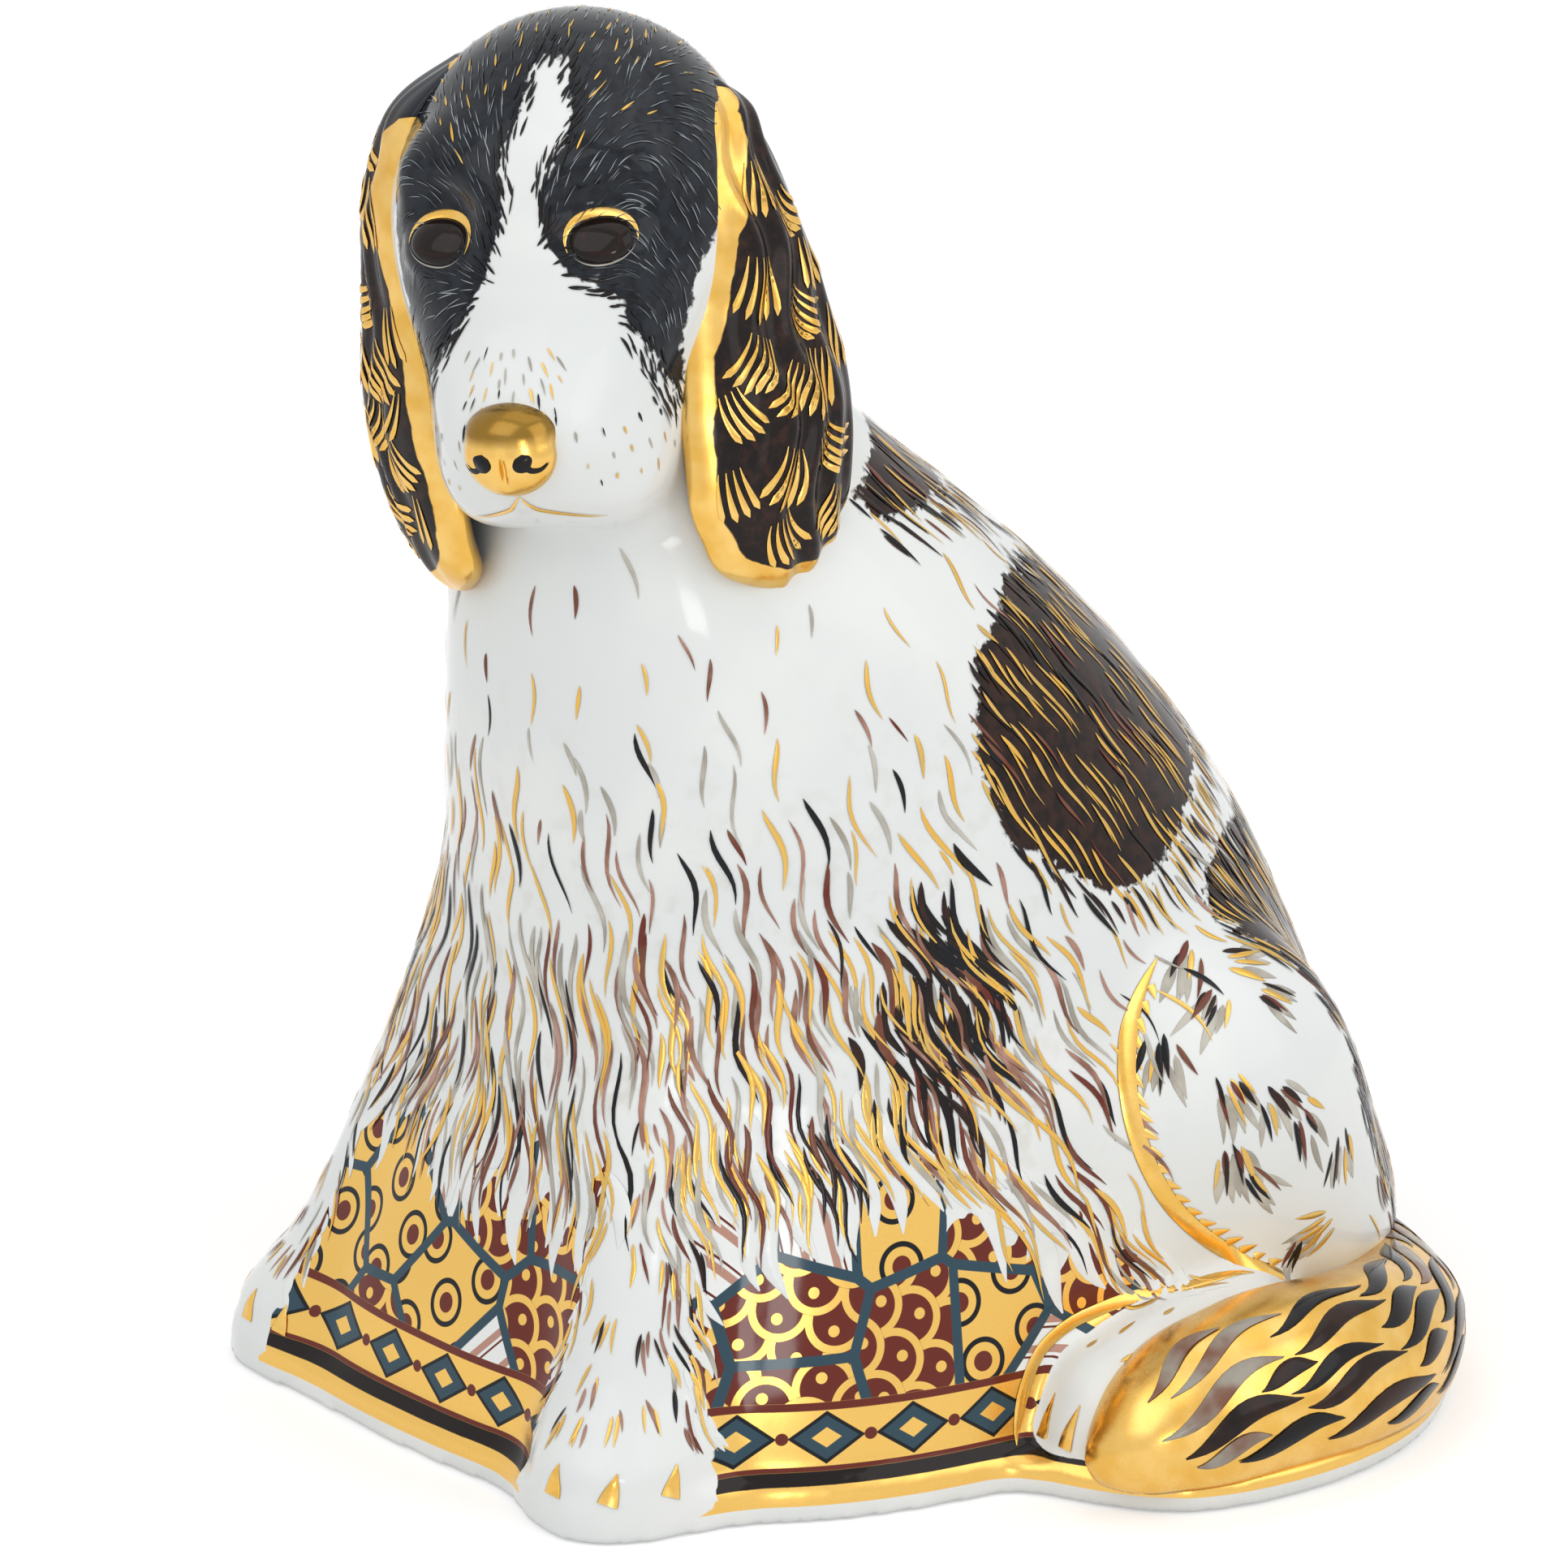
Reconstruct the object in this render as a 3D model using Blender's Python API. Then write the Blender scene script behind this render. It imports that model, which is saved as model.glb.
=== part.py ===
"""Sitting spaniel figurine in glazed bone china.

Hollow trunk and head, solid limbs, ears and tail, all luted to each other and to a foot plate,
and a loose stopper that closes the casting hole underneath. Metres, +Z up, the dog faces -Y.
"""
from math import cos, pi, radians, sin

import bmesh
import bpy
import numpy as np
from mathutils import Euler

MM = 0.001

# Driving dimensions
WALL = 3.5 * MM
JOINT_GAP = 0.3 * MM
MIDPLANE = -4.0 * MM

BASE_THICKNESS = 3.0 * MM
BASE_EDGE = 0.7 * MM
BASE_EASE = 2

# How far the foot plate stands out beyond the skirt and the paws, and lies inside the tail's round
SKIRT_RIM = 0.9 * MM
PAW_RIM = 1.6 * MM
TAIL_RIM = -1.2 * MM

STOPPER_RADIUS = 8.0 * MM
STOPPER_HEIGHT = 6.5 * MM
FLANGE_RADIUS = 11.0 * MM
FLANGE_THICKNESS = 1.4 * MM
STOPPER_RECESS = 0.4 * MM
STOPPER_CLEARANCE = 0.3 * MM

NECK_TOP = 105.0 * MM
HEAD_CENTRE = MM * np.array((-4.5, -26.6, 113.6))
HEAD_YAW = radians(39)
HEAD_ROLL = radians(6)
EAR_BEND = 20.0

THIGH_CENTRE = MM * np.array((27.0, 22.8, 22.0))
THIGH_SEMI_AXES = MM * np.array((11.6, 16.0, 20.4))

# Swelling of the rump over the tail's root: its bearing from straight back round to the left, and its height
RUMP_SWELL = 6.2 * MM
RUMP_BEARING = radians(38)
RUMP_SPREAD = radians(17)
RUMP_HEIGHT = 13.0 * MM
RUMP_RISE = 14.0 * MM

# Trunk and neck, level sections: height, front, back, half width
TRUNK_SECTIONS = MM * np.array((
    (0, -46.0, 48.0, 38.4),
    (10, -44.0, 48.8, 37.4),
    (22, -40.4, 48.2, 35.0),
    (36, -36.9, 44.9, 31.8),
    (50, -36.1, 38.3, 28.5),
    (64, -36.4, 28.2, 25.5),
    (78, -36.2, 14.8, 21.5),
    (92, -34.5, -1.0, 15.6),
    (105, -36.0, -11.5, 13.0),
))
TRUNK_POWER = 2.15

# The skirt's front is squarer and runs aslant, from the foot up to where the chest is round again
SKIRT_TOP = 36.0 * MM
SKIRT_POWER = 2.8
SKIRT_SLANT = 0.13

# Head, upright sections from the occiput to the nose: forward, crown, jaw, half width
HEAD_SECTIONS = MM * np.array((
    (-17.7, 3.6, -2.4, 2.8),
    (-16.4, 7.4, -6.2, 6.6),
    (-12.5, 12.4, -11.0, 11.0),
    (-6.0, 15.6, -14.6, 14.2),
    (1.0, 16.3, -16.8, 15.4),
    (7.0, 14.4, -19.4, 15.0),
    (11.5, 10.4, -22.4, 13.0),
    (14.4, 3.4, -24.0, 11.2),
    (18.2, -3.0, -24.6, 10.2),
    (21.6, -7.8, -23.6, 9.0),
    (24.2, -11.0, -21.4, 6.4),
    (25.4, -13.2, -18.6, 3.6),
))
HEAD_POWER = 2.2

# Ears, level sections in the head's axes: height, forward, outward, half width, half thickness
LEFT_EAR_SECTIONS = MM * np.array((
    (-34.0, 4.6, 16.9, 2.4, 1.2),
    (-32.4, 4.5, 17.1, 5.6, 2.1),
    (-28.0, 4.0, 17.6, 8.8, 2.8),
    (-20.0, 3.0, 17.9, 10.0, 3.0),
    (-8.0, 1.5, 16.5, 8.4, 2.8),
    (4.0, 0.5, 14.4, 6.4, 2.4),
    (10.5, 0.5, 11.6, 3.6, 1.8),
))
RIGHT_EAR_OUTWARD = MM * np.array((13.2, 13.7, 15.4, 17.2, 17.4, 16.0, 12.8))

# Turn of the ears against the sides of the head, at two heights and eased between them
EAR_TURN_HEIGHTS = MM * np.array((-8.0, 7.0))
EAR_TURNS = np.radians((27.0, 13.0))

# Forelegs, level sections: height, outward from the midplane, forward and back, half width, half depth
FORELEG_SECTIONS = MM * np.array((
    (3.0, 23.2, -38.8, 7.4, 8.0),
    (6.0, 23.2, -38.8, 7.3, 7.9),
    (8.6, 22.7, -38.0, 6.4, 7.0),
    (11.5, 21.8, -36.4, 5.5, 6.1),
    (17.0, 20.3, -34.4, 5.2, 5.6),
    (28.0, 17.3, -31.2, 5.3, 5.6),
    (38.0, 14.2, -28.6, 5.4, 5.6),
    (48.0, 11.0, -25.4, 5.4, 5.4),
))

# The left forepaw is set back and the right one put forward, up to where the legs are level again
PAW_STAGGER = 1.2 * MM
PAW_STAGGER_TOP = 17.0 * MM

# Hind paws, upright sections: along the body, outward from the midplane, height, half width, half height
HIND_PAW_SECTIONS = MM * np.array((
    (-3.6, 40.2, 5.0, 2.6, 2.0),
    (-1.6, 40.1, 5.6, 5.0, 4.6),
    (3.0, 39.9, 6.2, 6.3, 6.3),
    (11.0, 39.0, 7.0, 6.9, 7.2),
    (20.0, 38.0, 7.4, 7.4, 7.6),
    (25.0, 37.6, 7.2, 5.0, 5.2),
))

# Tail, from its root round to the tip: how far along, across, fore and aft, height, radius
TAIL_SECTIONS = MM * np.array((
    (0, 8.0, 44.2, 5.0, 4.8),
    (13, 21.0, 42.4, 5.0, 5.6),
    (26, 33.4, 36.0, 5.5, 7.0),
    (38, 41.0, 25.6, 6.9, 8.4),
    (51, 43.2, 13.0, 7.5, 8.5),
    (61, 43.2, 3.0, 6.6, 6.8),
    (66, 43.0, -1.6, 5.4, 4.2),
    (68, 42.8, -3.4, 4.8, 1.8),
))

# How finely the lofts are divided
TRUNK_SIDES = 48
HEAD_SIDES = 36
LIMB_SIDES = 20
EAR_SIDES = 24
BASE_SIDES = 96
RINGS_PER_SECTION = 2

CHINA_WHITE = (0.80, 0.82, 0.81)
COBALT_BLACK = (0.035, 0.04, 0.055)
UMBER_BLACK = (0.05, 0.035, 0.025)
BURNISHED_GOLD = (0.60, 0.42, 0.16)

SEAT = BASE_THICKNESS + JOINT_GAP
HEAD_TURN = Euler((HEAD_ROLL, 0, HEAD_YAW - pi / 2))


def smooth_rows(table, at):
    """Rows of a table, read along a smooth curve at values of its first column."""
    key = table[:, 0]
    slope = np.gradient(table[:, 1:], key, axis=0)
    i = np.clip(np.searchsorted(key, at) - 1, 0, len(key) - 2)
    span = (key[i + 1] - key[i])[:, None]
    t = (at - key[i])[:, None] / span
    start, end = table[i, 1:], table[i + 1, 1:]
    lean_in, lean_out = slope[i] * span, slope[i + 1] * span
    return (
        (2 * t**3 - 3 * t**2 + 1) * start
        + (t**3 - 2 * t**2 + t) * lean_in
        + (3 * t**2 - 2 * t**3) * end
        + (t**3 - t**2) * lean_out
    )


def stations(table, low=None, high=None):
    """Values of a table's first column at which a loft gets its rings."""
    low = table[0, 0] if low is None else low
    high = table[-1, 0] if high is None else high
    return np.linspace(low, high, (len(table) - 1) * RINGS_PER_SECTION + 1)


def oval(sides, half_a, half_b, power=2.0):
    """Points of a superellipse, as two arrays."""
    angle = 2 * pi * np.arange(sides) / sides
    c, s = np.cos(angle), np.sin(angle)
    return (
        half_a * np.sign(c) * np.abs(c) ** (2 / power),
        half_b * np.sign(s) * np.abs(s) ** (2 / power),
    )


def rump_swell(x, y, height):
    """How far the rump swells out beyond the trunk's oval, on rays from its centre."""
    turn = (np.arctan2(x, y) - RUMP_BEARING) / RUMP_SPREAD
    rise = (height - RUMP_HEIGHT) / RUMP_RISE
    return RUMP_SWELL * np.exp(-(turn**2) - rise**2)


def trunk_rings(heights, grow):
    """Level rings of the trunk, rump and neck, grown outward by a distance."""
    in_front = np.arange(TRUNK_SIDES) > TRUNK_SIDES / 2
    rings = []
    for z, (front, back, half) in zip(heights, smooth_rows(TRUNK_SECTIONS, heights)):
        skirt = max(1 - z / SKIRT_TOP, 0)
        depth = (back - front) / 2 + grow
        power = np.where(in_front, TRUNK_POWER + (SKIRT_POWER - TRUNK_POWER) * skirt, TRUNK_POWER)
        x, y = oval(TRUNK_SIDES, half + grow, depth, power)
        y = y + SKIRT_SLANT * skirt * x * np.clip(-y / depth, 0, 1)
        scale = 1 + rump_swell(x, y, z) / np.hypot(x, y)
        rings.append(np.column_stack((
            MIDPLANE + x * scale, (front + back) / 2 + y * scale, np.full_like(x, z),
        )))
    return rings


def head_rings(grow):
    """Upright rings of the head in its own axes, grown outward by a distance."""
    forward = stations(HEAD_SECTIONS)
    ends = np.linspace(-grow, grow, len(forward))
    rings = []
    for f, end, (crown, jaw, half) in zip(forward, ends, smooth_rows(HEAD_SECTIONS, forward)):
        half_width = max(half + grow, WALL / 4)
        half_height = max((crown - jaw) / 2 + grow, WALL / 4)
        y, z = oval(HEAD_SIDES, half_width, half_height, HEAD_POWER)
        rings.append(np.column_stack((np.full_like(y, f + end), y, (crown + jaw) / 2 + z)))
    return rings


def ear_rings(side):
    """Rings down one ear in the head's axes; side is 1 on the left and -1 on the right."""
    table = LEFT_EAR_SECTIONS.copy()
    if side < 0:
        table[:, 2] = RIGHT_EAR_OUTWARD
    heights = stations(table)
    rings = []
    for z, (forward, outward, half_width, half_thick) in zip(heights, smooth_rows(table, heights)):
        along, across = oval(EAR_SIDES, half_width, half_thick)
        across = across - EAR_BEND * along**2
        turn = np.interp(z, EAR_TURN_HEIGHTS, EAR_TURNS)
        x = forward - along * cos(turn) + across * sin(turn)
        y = outward + along * sin(turn) + across * cos(turn)
        rings.append(np.column_stack((x, side * y, np.full_like(x, z))))
    return rings


def foreleg_rings(side):
    """Level rings of one foreleg and its paw."""
    heights = stations(FORELEG_SECTIONS, SEAT)
    rings = []
    for z, (out, forward, half_x, half_y) in zip(heights, smooth_rows(FORELEG_SECTIONS, heights)):
        x, y = oval(LIMB_SIDES, half_x, half_y)
        y = y + forward + side * PAW_STAGGER * max(1 - z / PAW_STAGGER_TOP, 0)
        rings.append(np.column_stack((MIDPLANE + side * (out + x), y, np.full_like(x, z))))
    return rings


def hind_paw_rings(side, grow):
    """Upright rings of one hind paw, flat where it sits on the foot plate."""
    along = stations(HIND_PAW_SECTIONS)
    rings = []
    for y, (out, height, half_x, half_z) in zip(along, smooth_rows(HIND_PAW_SECTIONS, along)):
        x, z = oval(LIMB_SIDES, half_x + grow, half_z + grow)
        z = np.maximum(height + z, SEAT - grow)
        rings.append(np.column_stack((MIDPLANE + side * (out + x), np.full_like(x, y), z)))
    return rings


def tail_rings():
    """Rings square to the tail's run, flat where it sits on the foot plate."""
    along = stations(TAIL_SECTIONS)
    rows = smooth_rows(TAIL_SECTIONS, along)
    run = np.gradient(rows[:, :2], axis=0)
    run /= np.linalg.norm(run, axis=1, keepdims=True)
    rings = []
    for (px, py, height, radius), (run_x, run_y) in zip(rows, run):
        across, up = oval(LIMB_SIDES, radius, radius)
        z = np.maximum(height + up, SEAT)
        rings.append(np.column_stack((px + across * run_y, py - across * run_x, z)))
    return rings


def turned_ring(sides, radius, height):
    """One level ring round the Z axis."""
    x, y = oval(sides, radius, radius)
    return np.column_stack((x, y, np.full_like(x, height)))


def plan_of(rings):
    """Plan outline of a loft through upright rings: along one flank and back along the other."""
    flank = [ring[0] for ring in rings]
    other = [ring[len(ring) // 2] for ring in rings]
    return np.array(flank + other[::-1])


def footprint():
    """Plan outline of the foot plate: the furthest foot in each direction, with its rim, eased."""
    skirt = trunk_rings(np.array((SEAT,)), 0)[0]
    feet = [(skirt, SKIRT_RIM), (plan_of(tail_rings()), TAIL_RIM)]
    for side in (1, -1):
        feet += [(foreleg_rings(side)[0], PAW_RIM), (plan_of(hind_paw_rings(side, 0)), PAW_RIM)]
    angle = 2 * pi * np.arange(BASE_SIDES) / BASE_SIDES
    ray = np.column_stack((np.cos(angle), np.sin(angle)))
    reach = np.zeros(BASE_SIDES)
    for foot, rim in feet:
        start = foot[:, :2]
        edge = np.roll(start, -1, axis=0) - start
        slant = np.outer(ray[:, 0], edge[:, 1]) - np.outer(ray[:, 1], edge[:, 0])
        slant[np.abs(slant) < MM**3] = np.inf
        distance = (start[:, 0] * edge[:, 1] - start[:, 1] * edge[:, 0]) / slant
        place = (np.outer(ray[:, 1], start[:, 0]) - np.outer(ray[:, 0], start[:, 1])) / slant
        met = (place >= 0) & (place <= 1)
        reach = np.maximum(reach, np.where(met, distance, 0).max(axis=1) + rim)
    climb = np.arange(1, BASE_EASE + 2)
    ease = np.concatenate((climb, climb[-2::-1]))
    wrapped = np.concatenate((reach[-BASE_EASE:], reach, reach[:BASE_EASE]))
    return ray * np.convolve(wrapped, ease / ease.sum(), mode="valid")[:, None]


def base_rings(outline, centre):
    """Rings round the foot plate's rim and back down its stopper hole."""
    def rim(inset, height):
        away = outline - centre
        scale = 1 - inset / np.linalg.norm(away, axis=1, keepdims=True)
        return np.column_stack((centre + away * scale, np.full(BASE_SIDES, height)))

    def bore(radius, height):
        return turned_ring(BASE_SIDES, radius, height) + np.array((*centre, 0))

    hole = STOPPER_RADIUS + STOPPER_CLEARANCE
    seat_radius = FLANGE_RADIUS + STOPPER_CLEARANCE
    seat_depth = STOPPER_RECESS + FLANGE_THICKNESS + STOPPER_CLEARANCE
    return [
        rim(BASE_EDGE, 0),
        rim(0, BASE_EDGE),
        rim(0, BASE_THICKNESS - BASE_EDGE),
        rim(BASE_EDGE, BASE_THICKNESS),
        bore(hole, BASE_THICKNESS),
        bore(hole, seat_depth),
        bore(seat_radius, seat_depth),
        bore(seat_radius, 0),
    ]


def stopper_rings():
    """Rings up the turned stopper, whose flange lies in the foot plate's recess."""
    shoulder = STOPPER_RECESS + FLANGE_THICKNESS
    top = STOPPER_RECESS + STOPPER_HEIGHT
    lead = STOPPER_RADIUS / 8
    return [
        turned_ring(LIMB_SIDES * 2, FLANGE_RADIUS, STOPPER_RECESS),
        turned_ring(LIMB_SIDES * 2, FLANGE_RADIUS, shoulder),
        turned_ring(LIMB_SIDES * 2, STOPPER_RADIUS, shoulder),
        turned_ring(LIMB_SIDES * 2, STOPPER_RADIUS, top - lead),
        turned_ring(LIMB_SIDES * 2, STOPPER_RADIUS - lead, top),
    ]


def solid(name, rings, parent, wrap=False):
    """Closed body lofted through rings; wrap joins the last ring to the first, as in a tube's wall."""
    form = bmesh.new()
    loops = [[form.verts.new(point) for point in ring] for ring in rings]
    pairs = list(zip(loops, loops[1:]))
    if wrap:
        pairs.append((loops[-1], loops[0]))
    else:
        form.faces.new(loops[0])
        form.faces.new(loops[-1])
    for lower, upper in pairs:
        for k in range(len(lower)):
            form.faces.new((lower[k - 1], lower[k], upper[k], upper[k - 1]))
    return finish(name, form, parent)


def thigh(name, side, grow, parent):
    """Ellipsoid of one thigh, cut flat over the foot plate."""
    form = bmesh.new()
    bmesh.ops.create_uvsphere(form, u_segments=LIMB_SIDES + 4, v_segments=LIMB_SIDES // 2 + 2, radius=1)
    out, along, height = THIGH_CENTRE
    bmesh.ops.scale(form, vec=THIGH_SEMI_AXES + grow, verts=form.verts)
    bmesh.ops.translate(form, vec=(MIDPLANE + side * out, along, height), verts=form.verts)
    cut = bmesh.ops.bisect_plane(
        form, geom=form.verts[:] + form.edges[:] + form.faces[:],
        plane_co=(0, 0, SEAT - grow), plane_no=(0, 0, -1), clear_outer=True,
    )
    rim = [item for item in cut["geom_cut"] if isinstance(item, bmesh.types.BMEdge)]
    bmesh.ops.edgeloop_fill(form, edges=rim)
    return finish(name, form, parent)


def finish(name, form, parent):
    """Turn a bmesh into a named, smoothly shaded object."""
    bmesh.ops.recalc_face_normals(form, faces=form.faces)
    mesh = bpy.data.meshes.new(name)
    form.to_mesh(mesh)
    form.free()
    mesh.shade_smooth()
    mesh.set_sharp_from_angle(angle=radians(40))
    item = bpy.data.objects.new(name, mesh)
    item.parent = parent
    bpy.context.scene.collection.objects.link(item)
    return item


def as_cutter(item):
    """Keep an object only for cutting its neighbours."""
    item.hide_render = True
    item.display_type = "WIRE"
    return item


def cut(item, *cutters):
    """Take the neighbours' grown shapes out of an object."""
    for cutter in cutters:
        away = item.modifiers.new(cutter.name, "BOOLEAN")
        away.operation = "DIFFERENCE"
        away.solver = "EXACT"
        away.object = cutter


def glaze(item, colour, roughness=0.12, metallic=0.0):
    """Give an object its own glaze or gilding."""
    look = bpy.data.materials.new(item.name)
    look.use_nodes = True
    shader = look.node_tree.nodes["Principled BSDF"]
    shader.inputs["Base Color"].default_value = (*colour, 1)
    shader.inputs["Roughness"].default_value = roughness
    shader.inputs["Metallic"].default_value = metallic
    item.data.materials.append(look)


def empty(name, parent=None):
    """Axes that other objects hang on."""
    axes = bpy.data.objects.new(name, None)
    axes.parent = parent
    bpy.context.scene.collection.objects.link(axes)
    return axes


def build_foot(outline, centre, figurine):
    """Foot plate and the stopper in its hole."""
    base = solid("base_plate", base_rings(outline, centre), figurine, wrap=True)
    glaze(base, CHINA_WHITE)
    stopper = solid("stopper", stopper_rings(), figurine)
    stopper.location = (*centre, 0)
    glaze(stopper, CHINA_WHITE)


def build_trunk(figurine):
    """Hollow trunk and neck, open at both ends; returns the shape that its neighbours are cut by."""
    heights = stations(TRUNK_SECTIONS, SEAT, NECK_TOP)
    wall = trunk_rings(heights, 0) + trunk_rings(heights, -WALL)[::-1]
    glaze(solid("trunk_shell", wall, figurine, wrap=True), CHINA_WHITE)
    beyond = np.concatenate(((0,), heights, (NECK_TOP + JOINT_GAP,)))
    return as_cutter(solid("trunk_cutter", trunk_rings(beyond, JOINT_GAP), figurine))


def build_head(figurine, trunk_cutter):
    """Hollow head over the neck, and an ear against each side of it."""
    axes = empty("head_axes", figurine)
    axes.location = HEAD_CENTRE
    axes.rotation_euler = HEAD_TURN
    head = solid("head_shell", head_rings(0), axes)
    glaze(head, COBALT_BLACK)
    cut(head, as_cutter(solid("head_hollow", head_rings(-WALL), axes)), trunk_cutter)
    head_cutter = as_cutter(solid("head_cutter", head_rings(JOINT_GAP), axes))
    for name, side in (("ear_left", 1), ("ear_right", -1)):
        ear = solid(name, ear_rings(side), axes)
        glaze(ear, UMBER_BLACK)
        cut(ear, head_cutter, trunk_cutter)


def build_limbs(figurine, trunk_cutter):
    """Legs against the trunk, and the tail round the left thigh and paw."""
    tail = solid("tail", tail_rings(), figurine)
    glaze(tail, BURNISHED_GOLD, roughness=0.2, metallic=1.0)
    cut(tail, trunk_cutter)
    for hand, side in (("left", 1), ("right", -1)):
        foreleg = solid("foreleg_" + hand, foreleg_rings(side), figurine)
        haunch = thigh("haunch_" + hand, side, 0, figurine)
        paw = solid("hind_paw_" + hand, hind_paw_rings(side, 0), figurine)
        thigh_cutter = as_cutter(thigh("haunch_cutter_" + hand, side, JOINT_GAP, figurine))
        paw_cutter = as_cutter(solid("hind_paw_cutter_" + hand, hind_paw_rings(side, JOINT_GAP), figurine))
        cut(foreleg, trunk_cutter)
        cut(haunch, trunk_cutter)
        cut(paw, trunk_cutter, thigh_cutter)
        cut(tail, thigh_cutter, paw_cutter)
        for limb in (foreleg, haunch, paw):
            glaze(limb, CHINA_WHITE)


def build():
    for item in list(bpy.data.objects):
        bpy.data.objects.remove(item)
    outline = footprint()
    head_points = np.concatenate(head_rings(0)) @ np.array(HEAD_TURN.to_matrix()).T + HEAD_CENTRE
    plan = np.concatenate((outline, head_points[:, :2]))
    centre = (plan.min(axis=0) + plan.max(axis=0)) / 2
    figurine = empty("figurine")
    figurine.location = (-centre[0], -centre[1], 0)
    build_foot(outline, centre, figurine)
    trunk_cutter = build_trunk(figurine)
    build_head(figurine, trunk_cutter)
    build_limbs(figurine, trunk_cutter)


build()
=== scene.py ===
"""Sitting spaniel in glazed, painted and gilded bone china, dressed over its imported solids.

Lengths in the tables are millimetres in the figure's own axes: the dog faces -Y, its left is +X, +Z is up.
The china is one smooth skin read from the same sections as the solids. Ears, tail, eyes and nose are pieces
of their own, and every painted hair is a thin ribbon of enamel or gold laid on the glaze.
"""
from math import cos, pi, radians, sin

import bpy
import numpy as np
from bpy.props import FloatProperty, FloatVectorProperty, PointerProperty
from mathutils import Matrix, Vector


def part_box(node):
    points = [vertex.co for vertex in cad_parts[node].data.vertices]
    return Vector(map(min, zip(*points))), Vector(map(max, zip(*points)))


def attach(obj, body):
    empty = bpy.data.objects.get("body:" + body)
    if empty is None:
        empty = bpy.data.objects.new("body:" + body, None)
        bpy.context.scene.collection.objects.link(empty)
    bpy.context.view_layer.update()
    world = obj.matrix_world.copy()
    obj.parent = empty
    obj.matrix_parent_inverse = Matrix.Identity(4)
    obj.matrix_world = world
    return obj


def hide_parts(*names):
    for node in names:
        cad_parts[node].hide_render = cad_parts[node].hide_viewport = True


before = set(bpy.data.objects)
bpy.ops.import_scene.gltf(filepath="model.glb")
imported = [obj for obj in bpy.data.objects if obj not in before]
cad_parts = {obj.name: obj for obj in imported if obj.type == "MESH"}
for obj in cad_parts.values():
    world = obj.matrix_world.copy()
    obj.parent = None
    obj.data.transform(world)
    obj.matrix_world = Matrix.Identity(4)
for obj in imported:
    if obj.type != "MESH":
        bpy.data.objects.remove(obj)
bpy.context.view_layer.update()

bl_info = {
    "name": "China spaniel",
    "version": (1, 0, 0),
    "blender": (4, 5, 0),
    "location": "3D View > Sidebar > China",
    "description": "Glazed and gilded china spaniel over its packed solids",
    "category": "Object",
}

MM = 0.001
TINY = 1e-9
GLAZE_SPECULAR = 0.22

# Camera, fitted to the photograph
VIEW_AZIMUTH = radians(56)
VIEW_ELEVATION = radians(20)
VIEW_DISTANCE = 1100.0
VIEW_TARGET = np.array((-3.55, -5.26, 54.9))
PIXELS_PER_MM = 13.7
PHOTO_SIZE = 1932
SENSOR = 36.0
VIEW_CLIP = (0.01, 20)

# Softboxes: degrees round from the front, degrees up, side in metres
LIGHT_DISTANCE = 900.0
SOFTBOXES = (("key", 15, 46, 0.70), ("front", 63, 8, 0.13), ("fill", 115, 34, 0.70), ("top", 200, 78, 0.80))
FLOOR_ROUGHNESS = 0.9

# Trunk and neck, level sections: height, front, back, half width
MIDPLANE = -4.0
TRUNK_SECTIONS = np.array((
    (0, -46.0, 48.0, 38.4),
    (10, -44.0, 48.8, 37.4),
    (22, -40.4, 48.2, 35.0),
    (36, -36.9, 44.9, 31.8),
    (50, -36.1, 38.3, 28.5),
    (64, -36.4, 28.2, 25.5),
    (78, -36.2, 14.8, 21.5),
    (92, -34.5, -1.0, 15.6),
    (105, -36.0, -11.5, 13.0),
))
TRUNK_POWER = 2.15
PLAN_CENTRE = 2.5
NECK_EASE = 4

# The skirt's front is squarer and runs aslant, from the foot up to where the chest is round again
SKIRT_TOP = 36.0
SKIRT_POWER = 2.8
SKIRT_SLANT = 0.13

# Swelling of the rump over the tail's root: its bearing from straight back round to the left, and its height
RUMP_SWELL = 6.2
RUMP_BEARING = radians(38)
RUMP_SPREAD = radians(17)
RUMP_HEIGHT = 13.0
RUMP_RISE = 14.0

# Forelegs, level sections: height, outward from the midplane, fore and aft, half width, half depth
FORELEG_SECTIONS = np.array((
    (3.0, 23.2, -38.8, 7.4, 8.0),
    (6.0, 23.2, -38.8, 7.3, 7.9),
    (8.6, 22.7, -38.0, 6.4, 7.0),
    (11.5, 21.8, -36.4, 5.5, 6.1),
    (17.0, 20.3, -34.4, 5.2, 5.6),
    (28.0, 17.3, -31.2, 5.3, 5.6),
    (38.0, 14.2, -28.6, 5.4, 5.6),
    (48.0, 11.0, -25.4, 5.4, 5.4),
))
FORELEG_TOP_EASE = 6

# The left forepaw is set back and the right one put forward, up to where the legs are level again
PAW_STAGGER = 1.2
PAW_STAGGER_TOP = 17.0

# Hind paws, upright sections: along the body, outward from the midplane, height, half width, half height
HIND_PAW_SECTIONS = np.array((
    (-3.6, 40.2, 5.0, 2.6, 2.0),
    (-1.6, 40.1, 5.6, 5.0, 4.6),
    (3.0, 39.9, 6.2, 6.3, 6.3),
    (11.0, 39.0, 7.0, 6.9, 7.2),
    (20.0, 38.0, 7.4, 7.4, 7.6),
    (25.0, 37.6, 7.2, 5.0, 5.2),
))
HIND_PAW_END_EASE = 2
THIGH_CENTRE = (27.0, 22.8, 22.0)
THIGH_SEMI_AXES = (11.6, 16.0, 20.4)

# How softly the limbs, the foot and the head run into the trunk; the haunch more so towards the rump
FORELEG_EASE = 6
HAUNCH_EASE = 4
RUMP_EASE = 3
RUMP_EASE_START = 12
RUMP_EASE_RUN = 14
HIND_PAW_EASE = 2
RIM_EASE = 2.5
HEAD_EASE = 4

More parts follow.
